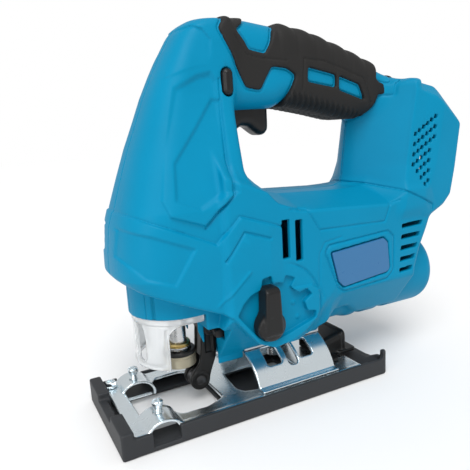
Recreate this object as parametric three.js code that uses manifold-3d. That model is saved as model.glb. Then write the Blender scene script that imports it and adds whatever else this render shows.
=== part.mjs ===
// A cordless D-handle jigsaw, in millimetres, +Z up.
//
// While the pieces are drawn, X is measured backwards from the base's front edge, Y from the blade's
// plane towards the tool's right-hand side, and Z up from the sole. The finished group is then shifted
// in X and Y so that the origin lies under the middle of the object.

import * as THREE from 'three';
import { mergeVertices } from 'three/addons/utils/BufferGeometryUtils.js';
import { ConvexGeometry } from 'three/addons/geometries/ConvexGeometry.js';
import Module from 'manifold-3d';

const wasm = await Module();
wasm.setup();

// ---------------------------------------------------------------- driving dimensions

const GAP = 0.3; // free space between pieces that touch or run in each other
const HALF_GAP = GAP / 2;

const BASE_LENGTH = 162;
const BASE_HALF = 34; // half the base's width
const SHOE_FLOOR = 2.4;
const SHOE_WALL = 2.4;
const SHOE_HEIGHT = 9.5;
const SHOE_FRONT_HEIGHT = 13.2;
const SHOE_FRONT = 6.5; // thickness of the raised front flange
const PLATE_BOTTOM = 6.2;
const PLATE_TOP = 8.5;
const PLATE_HALF = BASE_HALF - SHOE_WALL - GAP;
const SLOT_FRONT = 29;
const SLOT_REAR = 61;
const SLOT_HALF = 19; // half the blade opening's width
const FENCE_X = 22.5; // middle of the rip fence's channel
const FENCE_Y = 21; // its clamp screws stand this far to each side
const FENCE_HALF = 7; // half the channel's width
const KEY_HOLE_X = 103; // middle of the opening that lets a key reach the bevel bolt
const KEY_HOLE_HALF = 16;

const TILT_RADIUS = 28.5; // outside of the half-round bracket, about the bevel axis at the sole
const TILT_WALL = 2.3;
const TILT_FRONT = 78;
const TILT_REAR = 128;
const TILT_SLOT_ANGLE = 52; // the bolt's slot runs this far each way, in degrees
const SADDLE_HALF = 11;

const HOUSING_HALF = 35; // half the motor housing's width
const WALL = 2.6;
const MOTOR_Z = 52; // height of the motor's axis
const BARREL_RADIUS = 23;
const BARREL_REAR = 209;
const HANDLE_HALF = 16.5;
const GRIP_SKIN = 2.2;

const ROD_X = 43.5; // the blade rod's axis
const ROD_RADIUS = 4.5;
const CLAMP_BOTTOM = 22; // lowest point of the blade clamp, with the rod at the foot of its stroke
const CLAMP_RADIUS = 9.5;
const CRANK_RADIUS = 9; // half the stroke

const MODULE = 1.15; // of the gear pair
const PINION_TEETH = 12;
const GEAR_TEETH = 42;
const PRESSURE_ANGLE = THREE.MathUtils.degToRad(20);
const ADDENDUM = 0.7 * MODULE;
const DEDENDUM = 0.98 * MODULE;
const BACKLASH = 0.16 * MODULE;
const GEAR_FRONT = 67;
const GEAR_REAR = 75;
const GEAR_Z = MOTOR_Z + (PINION_TEETH + GEAR_TEETH) * MODULE / 2;
const YOKE_Z = GEAR_Z - CRANK_RADIUS;
const YOKE_REAR = 62.2;

const GUARD_X = 43; // centre of the guard's rounded front
const GUARD_RADIUS = 21.5;
const GUARD_WALL = 1.8;
const GUARD_BOTTOM = 31.5;
const GUARD_TOP = 66;
const GUARD_REAR = 50;

const ARM_PIVOT = [60, 44]; // X and Z of the roller arm's pivot
const ROLLER_CENTRE = [52.8, 14];
const ROLLER_RADIUS = 5;
const KNOB_CENTRE = [80, 50]; // X and Z of the selector's axis

const TRIGGER_HALF = 7.5;
const BUTTON_CENTRE = [73, 170.5];

const SCREWS = [[62, 188], [25, 104], [70, 40], [110, 104.5], [172, 99], [170, 174]];
const SCREW_RADIUS = 1.5;
const BOSS_RADIUS = 4;

const COLOURS = {
  blue: [0x1597c6, 0.5, 0],
  rubber: [0x2e2f31, 0.85, 0],
  black: [0x26282a, 0.55, 0],
  shoe: [0x3a3d40, 0.6, 0],
  zinc: [0xbfc9d0, 0.3, 0.9],
  steel: [0xa9adb0, 0.35, 0.9],
  brass: [0xb5a05a, 0.35, 0.8],
  khaki: [0xa9a48c, 0.45, 0.5],
  aluminium: [0x9ea3a7, 0.5, 0.8],
  clear: [0xdfe7ea, 0.15, 0],
  label: [0x4a80b8, 0.4, 0],
  copper: [0xb06a3a, 0.4, 0.8],
  green: [0x2e6b3c, 0.6, 0],
};

// ---------------------------------------------------------------- solids from three.js geometry

function solid(geometry) {
  geometry.deleteAttribute('normal');
  geometry.deleteAttribute('uv');
  const merged = mergeVertices(geometry, 1e-4);
  return new wasm.Manifold(new wasm.Mesh({
    numProp: 3,
    vertProperties: new Float32Array(merged.attributes.position.array),
    triVerts: new Uint32Array(merged.index.array),
  }));
}

function join(first, ...others) {
  return others.reduce((sum, other) => sum.add(other), first);
}

function cut(first, ...others) {
  return others.reduce((rest, other) => rest.subtract(other), first);
}

function box(x0, x1, y0, y1, z0, z1) {
  const geometry = new THREE.BoxGeometry(x1 - x0, y1 - y0, z1 - z0);
  geometry.translate((x0 + x1) / 2, (y0 + y1) / 2, (z0 + z1) / 2);
  return solid(geometry);
}

// A round bar along one axis, "x", "y" or "z"; centre gives the other two coordinates in order.
function bar(axis, centre, radius, from, to, sides = 20, endRadius = radius) {
  const geometry = new THREE.CylinderGeometry(endRadius, radius, to - from, sides);
  const middle = (from + to) / 2;
  if (axis === 'x') {
    geometry.rotateZ(-Math.PI / 2);
    geometry.translate(middle, centre[0], centre[1]);
  } else if (axis === 'y') {
    geometry.translate(centre[0], middle, centre[1]);
  } else {
    geometry.rotateX(Math.PI / 2);
    geometry.translate(centre[0], centre[1], middle);
  }
  return solid(geometry);
}

function outline(points) {
  return new THREE.Shape(points.map(([a, b]) => new THREE.Vector2(a, b)));
}

// An outline pushed along one axis. Its two coordinates are the other two axes in order, and bevel
// takes its edges off inside the outline.
function plate(axis, points, from, to, bevel = 0) {
  const shape = Array.isArray(points) ? outline(points) : points;
  const geometry = new THREE.ExtrudeGeometry(shape, {
    depth: to - from - 2 * bevel,
    curveSegments: 10,
    bevelEnabled: bevel > 0,
    bevelThickness: bevel,
    bevelSize: bevel,
    bevelOffset: -bevel,
    bevelSegments: 1,
  });
  geometry.translate(0, 0, from + bevel);
  if (axis === 'x') {
    geometry.applyMatrix4(new THREE.Matrix4().set(0, 0, 1, 0, 1, 0, 0, 0, 0, 1, 0, 0, 0, 0, 0, 1));
  } else if (axis === 'y') {
    geometry.translate(0, 0, -from - to);
    geometry.rotateX(Math.PI / 2);
  }
  return solid(geometry);
}

// A convex block round a list of rings; each ring is [x, z, half width].
function block(rings) {
  const points = rings.flatMap(([x, z, half]) => [
    new THREE.Vector3(x, half, z),
    new THREE.Vector3(x, -half, z),
  ]);
  return solid(new ConvexGeometry(points));
}

// The same rings, a little further out from their middle all round.
function grown(rings, amount) {
  const middleX = rings.reduce((sum, [x]) => sum + x, 0) / rings.length;
  const middleZ = rings.reduce((sum, [, z]) => sum + z, 0) / rings.length;
  return rings.map(([x, z, half]) => {
    const reach = Math.hypot(x - middleX, z - middleZ);
    const scale = 1 + 1.5 * amount / reach;
    return [middleX + (x - middleX) * scale, middleZ + (z - middleZ) * scale, half + amount];
  });
}

// A sector of a thick ring about the X axis at the sole; angles are in degrees from +Y.
function arch(x0, x1, inner, outer, start, end) {
  const a = THREE.MathUtils.degToRad(start);
  const b = THREE.MathUtils.degToRad(end);
  const shape = new THREE.Shape();
  shape.absarc(0, 0, outer, a, b, false);
  shape.absarc(0, 0, inner, b, a, true);
  return plate('x', shape, x0, x1);
}

const group = new THREE.Group();

function add(name, colour, shape) {
  const { vertProperties, triVerts } = shape.getMesh();
  const geometry = new THREE.BufferGeometry();
  geometry.setAttribute('position', new THREE.BufferAttribute(new Float32Array(vertProperties), 3));
  geometry.setIndex(new THREE.BufferAttribute(new Uint32Array(triVerts), 1));
  geometry.computeVertexNormals();
  const [color, roughness, metalness] = COLOURS[colour];
  const mesh = new THREE.Mesh(geometry, new THREE.MeshStandardMaterial({ color, roughness, metalness }));
  mesh.name = name;
  group.add(mesh);
}

// ---------------------------------------------------------------- base

function bladeOpening(grow, z0, z1) {
  const front = SLOT_FRONT - grow;
  const rear = SLOT_REAR + grow;
  const half = SLOT_HALF + grow;
  const notch = 4;
  return plate('z', [
    [front, -half], [rear - notch, -half], [rear, notch - half], [rear, half - notch],
    [rear - notch, half], [front, half],
  ], z0, z1);
}

function makeBasePlate() {
  const front = SHOE_FRONT + GAP;
  const rear = BASE_LENGTH - SHOE_WALL - GAP;
  const web = box(front, rear, -PLATE_HALF, PLATE_HALF, PLATE_BOTTOM, PLATE_TOP);
  const edge = 2;
  const foot = SHOE_FLOOR + GAP;
  const folds = [-1, 1].map((side) => box(
    front, rear,
    Math.min(side * PLATE_HALF, side * (PLATE_HALF - edge)),
    Math.max(side * PLATE_HALF, side * (PLATE_HALF - edge)),
    foot, PLATE_TOP,
  ));
  const tunnels = [-1, 1].map((side) => fenceTunnel(side));
  const channel = box(
    FENCE_X - FENCE_HALF, FENCE_X + FENCE_HALF, -BASE_HALF, BASE_HALF, foot - 1, PLATE_TOP + 2,
  );
  const between = box(
    FENCE_X - FENCE_HALF - 3, SLOT_FRONT + 1, -SLOT_HALF + 3, SLOT_HALF - 3, 0, PLATE_TOP + 5,
  );
  const screws = [-1, 1].map((side) => (
    bar('z', [FENCE_X, side * FENCE_Y], 2.3, PLATE_TOP, PLATE_TOP + 10, 16)
  ));
  const key = box(KEY_HOLE_X - 9, KEY_HOLE_X + 9, -KEY_HOLE_HALF, KEY_HOLE_HALF, 0, PLATE_TOP + 5);
  const rearWindow = box(131, 148, -15, 15, 0, PLATE_TOP + 5);
  const body = cut(join(web, ...folds), bladeOpening(0, 0, PLATE_TOP + 5), between);
  return cut(join(body, ...tunnels), channel, ...screws, key, rearWindow);
}

// The arched tunnel on each side that guides the rip fence's bar.
function fenceTunnel(side) {
  const reach = FENCE_HALF + 1.6;
  const top = PLATE_TOP + 4.6;
  const y0 = side > 0 ? 14.5 : 1 - PLATE_HALF;
  const y1 = side > 0 ? PLATE_HALF - 1 : -14.5;
  return plate('y', [
    [FENCE_X - reach, PLATE_BOTTOM], [FENCE_X + reach, PLATE_BOTTOM], [FENCE_X + reach, PLATE_TOP + 1],
    [FENCE_X + reach - 3.5, top], [FENCE_X - reach + 3.5, top], [FENCE_X - reach, PLATE_TOP + 1],
  ], y0, y1);
}

function makeBaseShoe() {
  const corner = 4;
  const shell = plate('z', [
    [0, -BASE_HALF], [BASE_LENGTH - corner, -BASE_HALF], [BASE_LENGTH, corner - BASE_HALF],
    [BASE_LENGTH, BASE_HALF - corner], [BASE_LENGTH - corner, BASE_HALF], [0, BASE_HALF],
  ], 0, SHOE_HEIGHT);
  const flange = box(0, SHOE_FRONT, -BASE_HALF, BASE_HALF, 0, SHOE_FRONT_HEIGHT);
  const tray = box(
    SHOE_FRONT, BASE_LENGTH - SHOE_WALL, SHOE_WALL - BASE_HALF, BASE_HALF - SHOE_WALL,
    SHOE_FLOOR, SHOE_FRONT_HEIGHT + 1,
  );
  const dip = box(-1, SHOE_FRONT + 1, -13, 12, SHOE_HEIGHT - 1, SHOE_FRONT_HEIGHT + 1);
  const opening = box(
    FENCE_X - FENCE_HALF - 3, SLOT_REAR, -SLOT_HALF, SLOT_HALF, -1, SHOE_FLOOR + 1,
  );
  const fence = box(
    FENCE_X - FENCE_HALF, FENCE_X + FENCE_HALF, -BASE_HALF - 1, BASE_HALF + 1,
    SHOE_FLOOR, SHOE_HEIGHT + 1,
  );
  const key = box(KEY_HOLE_X - 9, KEY_HOLE_X + 9, -KEY_HOLE_HALF, KEY_HOLE_HALF, -1, SHOE_FLOOR + 1);
  const rearWindow = box(131, 148, -15, 15, -1, SHOE_FLOOR + 1);
  const tab = box(BASE_LENGTH - SHOE_WALL, BASE_LENGTH, -28, -20, SHOE_HEIGHT - 1, 14);
  return join(cut(join(shell, flange), tray, dip, opening, fence, key, rearWindow), tab);
}

function makeTiltBracket() {
  const start = THREE.MathUtils.radToDeg(Math.asin((PLATE_TOP + GAP) / TILT_RADIUS)) + 1;
  const inner = TILT_RADIUS - TILT_WALL;
  const shell = arch(TILT_FRONT, TILT_REAR, inner, TILT_RADIUS, start, 180 - start);
  const slot = arch(
    KEY_HOLE_X - 3.2, KEY_HOLE_X + 3.2, inner - 2, TILT_RADIUS + 2,
    90 - TILT_SLOT_ANGLE, 90 + TILT_SLOT_ANGLE,
  );
  const ledges = [-1, 1].map((side) => box(
    TILT_FRONT, TILT_REAR,
    Math.min(side * 25.4, side * (PLATE_HALF - 0.5)), Math.max(side * 25.4, side * (PLATE_HALF - 0.5)),
    PLATE_TOP + GAP, PLATE_TOP + GAP + 1.8,
  ));
  return cut(join(shell, ...ledges), slot);
}

function makeFenceScrew(side) {
  const y = side * FENCE_Y;
  const head = bar('z', [FENCE_X, y], 3, 16.8, 19.7, 20);
  const shank = bar('z', [FENCE_X, y], 2, 9.2, 17, 16);
  const slot = box(FENCE_X - 4, FENCE_X + 4, y - 0.5, y + 0.5, 18.6, 21);
  return cut(join(head, shank), slot);
}

function makeGuideBolt() {
  const centre = [10.2, 26];
  const head = bar('z', centre, 3, PLATE_TOP + GAP, PLATE_TOP + 3.6, 6);
  const socket = bar('z', centre, 1.7, PLATE_TOP + 1.8, PLATE_TOP + 5, 6);
  return cut(head, socket);
}

function makeDustNozzle() {
  const outer = plate('x', [[-12, 8.8], [12, 8.8], [12, 17], [8, 24.5], [-8, 24.5], [-12, 17]], 129, 150);
  const inner = plate('x', [
    [-10, 10.8], [10, 10.8], [10, 16.5], [7, 22.5], [-7, 22.5], [-10, 16.5],
  ], 128, 151);
  const lug = box(129, 136, -20, -11.5, 8.8, 11);
  return join(cut(outer, inner), lug);
}

// ---------------------------------------------------------------- housing shells

const NOSE = [
  [13.5, 76, 16], [13.5, 92, 17], [19, 114, 18], [29, 140, 15], [37, 160, 12],
  [24, 76, 29], [25, 92, 31], [31, 116, 29], [44, 150, 22], [52, 172, 18],
  [49, 186, 9], [55, 196, 9], [60, 200, 8], [60, 194, 14],
  [76, 201, 8], [76, 196, 15], [76, 172, 17], [75, 140, 22],
  [62, 116, 33], [70, 112, 33], [70, 76, 33],
];
const NOSE_CAVITY = [
  [17, 79, 14], [17, 92, 15], [22.5, 114, 15], [32.5, 140, 12], [40.5, 160, 9],
  [26, 79, 26], [27, 92, 28], [33, 115, 26], [46, 150, 18.5], [54, 172, 15],
  [53, 186, 6], [60, 196, 5], [60, 191, 11],
  [76, 198, 6], [76, 193, 12], [76, 172, 14], [72, 140, 18],
  [62, 113, 30], [70, 109, 30], [70, 79, 30],
];
const BOX = [
  [175, 108, 35], [184, 164, 35], [199, 159, 35], [217, 143, 35], [209, 108, 35], [204, 99, 33],
  [194, 97, 33], [186, 169, 30], [203, 165, 30], [217.69, 146, 30], [205, 97, 28],
];
const BOX_CAVITY = [
  [178, 111, 32], [186, 161, 32], [198, 156, 32], [202, 153, 32], [196, 104, 31], [191, 100, 30],
  [188, 166, 27], [200, 162, 27],
];
const HANDLE = [
  [58, 196], [70, 200.8], [87, 201.6], [106, 198.8], [126, 195], [148, 187.6], [171, 178.6], [190, 170],
  [184, 150], [150, 152], [133, 156], [110, 160.5], [103, 157], [78, 156.5], [70, 150],
];
const HANDLE_CAVITY = [
  [64, 194], [72, 198], [87, 198.8], [106, 196], [126, 192.2], [147, 184.8], [170, 175.8], [186, 168],
  [182, 153], [151, 155], [133, 159], [109, 163.5], [102, 160], [76, 160], [68, 156],
];
const SADDLE_TOP = [
  [60, 96], [60, 140], [75, 141], [76.5, 134], [81, 125], [88, 117], [96, 113.5], [142, 111.5],
  [150, 111.5], [150, 96],
];
const LOWER_BODY = [[53, 35], [118, 35], [131, 44], [131, 90], [120, 112], [66, 116], [60, 56]];
const LOWER_CAVITY = [
  [55.5, 37.6], [117, 37.6], [129, 45.5], [129, 90], [119, 109.5], [66, 113], [62.5, 56],
];
const MOTOR_SECTION = [
  [-15.5, 31], [15.5, 31], [35, 58], [35, 98], [27, 108], [-27, 108], [-35, 98], [-35, 58],
];
const MOTOR_CAVITY = [
  [-14.2, 33.2], [14.2, 33.2], [32.4, 59], [32.4, 97], [26, 105.4], [-26, 105.4], [-32.4, 97], [-32.4, 59],
];

function nosePlan(radius, rear) {
  const shape = new THREE.Shape();
  shape.absarc(GUARD_X, 0, radius, Math.PI / 2, 1.5 * Math.PI, false);
  shape.lineTo(rear, -radius);
  shape.lineTo(rear, radius);
  return shape;
}

function housingOuter() {
  const nose = block(NOSE);
  const chin = plate('z', nosePlan(24, 62), 56, 80);
  const saddle = plate('y', SADDLE_TOP, -22, 22, 4);
  const lower = plate('y', LOWER_BODY, -34, 34, 3);
  const motor = plate('x', MOTOR_SECTION, 118, 188);
  const barrel = join(
    bar('x', [0, MOTOR_Z], BARREL_RADIUS, 150, BARREL_REAR - 6, 32),
    bar('x', [0, MOTOR_Z], BARREL_RADIUS, BARREL_REAR - 6, BARREL_REAR, 32, BARREL_RADIUS - 6),
  );
  const pillar = block([
    [142, 110, 17], [149, 153, 15], [158, 170, 16], [176, 108, 34], [184, 164, 34], [186, 169, 28],
    [143, 98, 20], [178, 98, 33],
  ]);
  const handle = plate('y', HANDLE, -HANDLE_HALF, HANDLE_HALF, 4);
  return join(nose, chin, saddle, lower, motor, barrel, pillar, block(BOX), handle);
}

function housingCavity() {
  const nose = block(NOSE_CAVITY);
  const chin = plate('z', nosePlan(24 - 2, 70), 55, 82);
  const saddle = plate('y', [
    [62, 96], [63, 136], [72, 138], [73.5, 132], [79, 122], [87, 114], [96, 110.5], [150, 108.5], [150, 96],
  ], -19, 19);
  const lower = plate('y', LOWER_CAVITY, -31.4, 31.4);
  const motor = plate('x', MOTOR_CAVITY, 116, 185.2);
  const barrel = bar('x', [0, MOTOR_Z], BARREL_RADIUS - WALL, 150, BARREL_REAR - 6, 32);
  const pillar = block([
    [146, 112, 13], [153, 155, 12], [160, 168, 12], [178, 111, 30], [185, 161, 30], [187, 166, 24],
    [147, 100, 16], [180, 103, 29],
  ]);
  const handle = plate('y', HANDLE_CAVITY, -HANDLE_HALF + WALL, HANDLE_HALF - WALL);
  const doorway = box(176, 195, -26, 26, 97, 120);
  return join(nose, chin, saddle, lower, motor, barrel, pillar, block(BOX_CAVITY), handle, doorway);
}

// Openings that both shells share. The battery slides into the rear one from below.
function housingOpenings() {
  const foot = box(TILT_FRONT - 2, TILT_REAR + 1, -SADDLE_HALF - 1.2, SADDLE_HALF + 1.2, 30, 40);
  const arm = box(48, 70, -9.4, 9.4, 30, 58);
  const trigger = box(78, 103.4, -TRIGGER_HALF - 0.4, TRIGGER_HALF + 0.4, 140, 166);
  const batterySeat = block([
    [202, 90, 21], [209, 152, 21], [224, 90, 21], [228, 152, 21],
  ]);
  const railGrooves = block([
    [202, 90, 26], [209, 152, 26], [205.5, 90, 26], [212.5, 152, 26],
  ]);
  const contacts = block([[190, 111.6, 17.4], [195, 146.4, 17.4], [214, 111.6, 17.4], [218, 146.4, 17.4]]);
  const button = plate('y', pill(BUTTON_CENTRE, 3.2, 7), -30, 30);
  const armLink = box(57, 72.5, -19.6, 19.6, 40.5, 49);
  return join(foot, arm, armLink, trigger, contacts, batterySeat, railGrooves, button);
}

function pill([x, z], halfWidth, halfHeight) {
  const shape = new THREE.Shape();
  const end = halfHeight - halfWidth;
  shape.absarc(x, z + end, halfWidth, 0, Math.PI, false);
  shape.absarc(x, z - end, halfWidth, Math.PI, 2 * Math.PI, false);
  return shape;
}

// The five slanted slots at the motor's rear, on one side.
function rearSlots(side) {
  const slots = [0, 1, 2, 3, 4].map((row) => {
    const z = 88 - 6.6 * row;
    const x = 172.2 - 0.9 * row;
    return plate('y', [
      [x, z - 1.6], [x + 13.4, z - 1.6], [x + 15, z + 1.6], [x + 0.6, z + 1.6],
    ], side > 0 ? 25 : -40, side > 0 ? 40 : -25);
  });
  return join(...slots);
}

function sideVents(side) {
  const y0 = side > 0 ? 29 : -40;
  const y1 = side > 0 ? 40 : -29;
  return join(box(91.6, 95.2, y0, y1, 82, 102), box(99.2, 102.8, y0, y1, 79.5, 101));
}

// The diamond mesh that airs the electronics: a slanted field of small square holes.
function lattice(side) {
  const y0 = side > 0 ? 30 : -40;
  const y1 = side > 0 ? 40 : -30;
  const holes = [];
  for (let row = 0; row < 6; row += 1) {
    for (let column = 0; column < 3; column += 1) {
      const x = 186 + 4.2 * column + 1.4 * row - (row % 2) * 0.8;
      const z = 117 + 5.4 * row + 1.6 * column;
      const reach = 1.35;
      holes.push(plate('y', [[x - reach, z], [x, z - reach], [x + reach, z], [x, z + reach]], y0, y1));
    }
  }
  return join(...holes);
}

function screwBosses(side) {
  const from = side > 0 ? HALF_GAP : -40;
  const to = side > 0 ? 40 : -HALF_GAP;
  return join(...SCREWS.map((centre) => bar('y', centre, BOSS_RADIUS, from, to, 12)));
}

function makeHousing(side) {
  const outer = housingOuter();
  const half = side > 0 ? box(-5, 240, HALF_GAP, 60, 0, 230) : box(-5, 240, -60, -HALF_GAP, 0, 230);
  const bosses = screwBosses(side).intersect(outer);
  const shell = join(cut(outer, housingCavity()), bosses);
  const screwHoles = SCREWS.map((centre) => bar('y', centre, SCREW_RADIUS + GAP, -14, 30, 12));
  const heads = SCREWS.map((centre) => bar('y', centre, 3.2, screwSeat(centre), 45, 12));
  const cuts = [housingOpenings(), rearSlots(side), sideVents(side), lattice(side), ...screwHoles];
  if (side > 0) {
    cuts.push(...heads);
  } else {
    cuts.push(labelShape(0.4, -HOUSING_HALF + 1.6));
    cuts.push(bar('y', KNOB_CENTRE, 4.3, -45, -25, 20));
    cuts.push(bar('y', [86, 57], 23, -45, -32.6, 32));
  }
  return cut(shell.intersect(half), ...cuts);
}

// Where a screw's head seats, on the right-hand side.
function screwSeat([x, z]) {
  const nose = x < 40;
  const handle = z > 160;
  if (handle) {
    return 9;
  }
  return nose ? 12 : 26;
}

function labelShape(grow, depth) {
  return plate('y', [
    [121 - grow, 80.5 + grow], [157.5 + grow, 83.5 + grow], [160.5 + grow, 80.5], [162 + grow, 65],
    [160 + grow, 63 - grow], [129 - grow, 60 - grow], [125.5 - grow, 63.5],
  ], -HOUSING_HALF - 5 * grow - 0.2, depth);
}

function makeGrip(side) {
  const outer = plate('y', [
    [66, 199], [67, 203], [78, 204], [92, 203.9], [106, 201.4], [126, 197.6], [148, 190.2], [171, 181.2],
    [190, 172], [192, 164], [186, 163], [172, 166], [156, 150], [133, 153.6], [109, 158], [104, 164],
    [107, 175], [100, 177], [94, 167], [86, 167],
  ], -HANDLE_HALF - GRIP_SKIN, HANDLE_HALF + GRIP_SKIN, 3);
  const core = plate('y', HANDLE.map(([x, z]) => {
    const middle = 176 - 0.12 * (x - 110);
    return [x > 180 ? x + 2 : x, z + (z > middle ? 0.35 : -0.35)];
  }), -HANDLE_HALF - 0.3, HANDLE_HALF + 0.3, 3.8);
  const half = side > 0 ? box(60, 200, HALF_GAP, 30, 140, 210) : box(60, 200, -30, -HALF_GAP, 140, 210);
  const neck = box(60, 77.6, -30, 30, 140, 202.2);
  const tail = block([
    [140, 105, 30], [149, 153.4, 17], [158, 171, 17.4], [176, 105, 36], [185, 165, 36], [187, 170.4, 30],
  ]);
  const rear = block(grown(BOX, 0.4));
  const screws = SCREWS.map((centre) => bar('y', centre, 3.6, 0, 45, 12));
  return cut(outer.intersect(half), core, neck, tail, rear, ...screws);
}

function makeScrew(centre) {
  const seat = screwSeat(centre) + GAP;
  const head = bar('y', centre, 2.8, seat, seat + 2.4, 12);
  const shank = bar('y', centre, SCREW_RADIUS, -9, seat + 1, 8);
  const [x, z] = centre;
  const cross = join(
    box(x - 1.6, x + 1.6, seat + 1.4, seat + 4, z - 0.35, z + 0.35),
    box(x - 0.35, x + 0.35, seat + 1.4, seat + 4, z - 1.6, z + 1.6),
  );
  return cut(join(head, shank), cross);
}

// ---------------------------------------------------------------- frame, rod and clamp

// A C-shaped casting: a wall behind the gear, an arm over it and a post and arm in front of the rod.
function makeGearFrame() {
  const wall = plate('x', [
    [-10.5, 42], [10.5, 42], [10.5, 62], [25, 74], [25, 104], [13, 118], [-13, 118], [-25, 104],
    [-25, 74], [-10.5, 62],
  ], GEAR_REAR + 2, GEAR_REAR + 6.5);
  const arm = box(31, GEAR_REAR + 3, -10, 10, 111, 119);
  const post = box(31, 35.5, -8, 8, 58, 112);
  const foot = box(31, 56, -11, 11, 58, 66);
  const holes = [
    bar('z', [ROD_X, 0], 7.3, 57, 67),
    bar('z', [ROD_X, 0], 7.3, 110, 120),
    bar('x', [0, MOTOR_Z], 7.9, GEAR_REAR, GEAR_REAR + 8),
    bar('x', [0, GEAR_Z], 4.3, GEAR_REAR, GEAR_REAR + 8),
  ];
  const boss = bar('x', [0, MOTOR_Z], 10.4, GEAR_REAR + 2, GEAR_REAR + 6.5, 20);
  return cut(join(wall, boss, arm, post, foot), ...holes);
}

function makeTiltSaddle() {
  const blockBody = box(TILT_FRONT, TILT_REAR, -SADDLE_HALF, SADDLE_HALF, 24, 33.1);
  const foot = join(box(TILT_FRONT + 2, 90, -10, 10, 32, 41.5), box(100.6, 106.5, -6, 6, 32, 41.5));
  const hollow = bar('x', [0, 0], TILT_RADIUS + GAP + 0.1, TILT_FRONT - 1, TILT_REAR + 1, 64);
  const bolt = bar('z', [KEY_HOLE_X, 0], 2.9, 20, 50, 16);
  return cut(join(blockBody, foot), hollow, bolt);
}

function makeBushing(z0, z1) {
  return cut(bar('z', [ROD_X, 0], 7, z0, z1), bar('z', [ROD_X, 0], ROD_RADIUS + GAP, z0 - 1, z1 + 1));
}

function makeRod() {
  const rod = bar('z', [ROD_X, 0], ROD_RADIUS, CLAMP_BOTTOM + 8, 122);
  const socket = bar('z', [ROD_X, 0], 1.6, CLAMP_BOTTOM + 7, CLAMP_BOTTOM + 22, 12);
  return cut(rod, socket);
}

function makeYoke() {
  const body = box(38, YOKE_REAR, -13, 13, YOKE_Z - 6, YOKE_Z + 6);
  const bore = bar('z', [ROD_X, 0], ROD_RADIUS + GAP, YOKE_Z - 8, YOKE_Z + 8);
  const slot = box(YOKE_REAR - 5, YOKE_REAR + 1, -11.6, 11.6, YOKE_Z - 2.8, YOKE_Z + 2.8);
  return cut(body, bore, slot);
}

function makeClampBody() {
  const profile = [
    [ROD_RADIUS + GAP, 31.5], [7.6, 31.5], [7.6, 35], [6.8, 35.6], [6.8, 38], [ROD_RADIUS + GAP, 38],
    [ROD_RADIUS + GAP, 31.5],
  ];
  const geometry = new THREE.LatheGeometry(profile.map(([r, z]) => new THREE.Vector2(r, z)), 28);
  geometry.rotateX(Math.PI / 2);
  geometry.translate(ROD_X, 0, 0);
  return solid(geometry);
}

function makeClampSleeve() {
  const ring = cut(
    bar('z', [ROD_X, 0], CLAMP_RADIUS, CLAMP_BOTTOM, CLAMP_BOTTOM + 9.2, 32),
    bar('z', [ROD_X, 0], 5.4, CLAMP_BOTTOM - 1, CLAMP_BOTTOM + 10, 24),
  );
  const mouth = box(ROD_X - 12, ROD_X + 12, -1.4, 1.4, CLAMP_BOTTOM - 1, CLAMP_BOTTOM + 2);
  return cut(ring, mouth);
}

// ---------------------------------------------------------------- gears and motor

// A spur gear's outline in the plane of Y and Z: involute flanks, with one tooth centred on
// toothAngle. The two sides of a tooth are thinned by the backlash.
function gearShape(teeth, toothAngle) {
  const pitch = teeth * MODULE / 2;
  const base = pitch * Math.cos(PRESSURE_ANGLE);
  const tip = pitch + ADDENDUM;
  const root = pitch - DEDENDUM;
  const involute = (radius) => {
    const angle = Math.acos(Math.min(1, base / radius));
    return Math.tan(angle) - angle;
  };
  const halfTooth = (Math.PI / 2 - BACKLASH / MODULE) / teeth + involute(pitch);
  const start = Math.max(base, root + 0.1);
  const radii = [root, start, pitch, tip];
  const points = [];
  for (let tooth = 0; tooth < teeth; tooth += 1) {
    const middle = toothAngle + 2 * Math.PI * tooth / teeth;
    const flank = radii.map((radius) => [radius, halfTooth - involute(Math.max(radius, base))]);
    flank.forEach(([radius, half]) => points.push([radius, middle - half]));
    flank.reverse().forEach(([radius, half]) => points.push([radius, middle + half]));
  }
  return points.map(([radius, angle]) => [radius * Math.cos(angle), radius * Math.sin(angle)]);
}

function gear(teeth, toothAngle, z, x0, x1) {
  const points = gearShape(teeth, toothAngle).map(([y, height]) => [y, height + z]);
  return plate('x', points, x0, x1);
}

function makeCrankGear() {
  const wheel = gear(GEAR_TEETH, -Math.PI / 2, GEAR_Z, GEAR_FRONT, GEAR_REAR);
  const bore = bar('x', [0, GEAR_Z], 4.3, GEAR_FRONT - 1, GEAR_REAR + 1, 20);
  const recess = cut(
    bar('x', [0, GEAR_Z], 21, GEAR_REAR - 2.5, GEAR_REAR + 1, 32),
    bar('x', [0, GEAR_Z], 8, GEAR_REAR - 3, GEAR_REAR + 2, 20),
  );
  const pinSeat = bar('x', [0, YOKE_Z], 2.8, GEAR_FRONT - 1, GEAR_FRONT + 4, 16);
  return cut(wheel, bore, recess, pinSeat);
}

function makePinion() {
  const toothAngle = Math.PI / 2 + Math.PI / PINION_TEETH;
  const wheel = gear(PINION_TEETH, toothAngle, MOTOR_Z, GEAR_FRONT - 0.5, GEAR_REAR + 0.5);
  return cut(wheel, bar('x', [0, MOTOR_Z], 2.8, GEAR_FRONT - 2, GEAR_REAR + 2, 16));
}

function makeFan() {
  const hub = bar('x', [0, MOTOR_Z], 6, 91, 100, 16);
  const disc = bar('x', [0, MOTOR_Z], 15, 98.4, 100, 24);
  const blades = [0, 1, 2, 3, 4, 5, 6, 7, 8].map((index) => {
    const geometry = new THREE.BoxGeometry(7.4, 1.2, 10);
    geometry.translate(0, 0, 9.6);
    geometry.rotateX(2 * Math.PI * index / 9);
    geometry.translate(95.2, 0, MOTOR_Z);
    return solid(geometry);
  });
  return cut(join(hub, disc, ...blades), bar('x', [0, MOTOR_Z], 2.8, 90, 101, 16));
}

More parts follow.
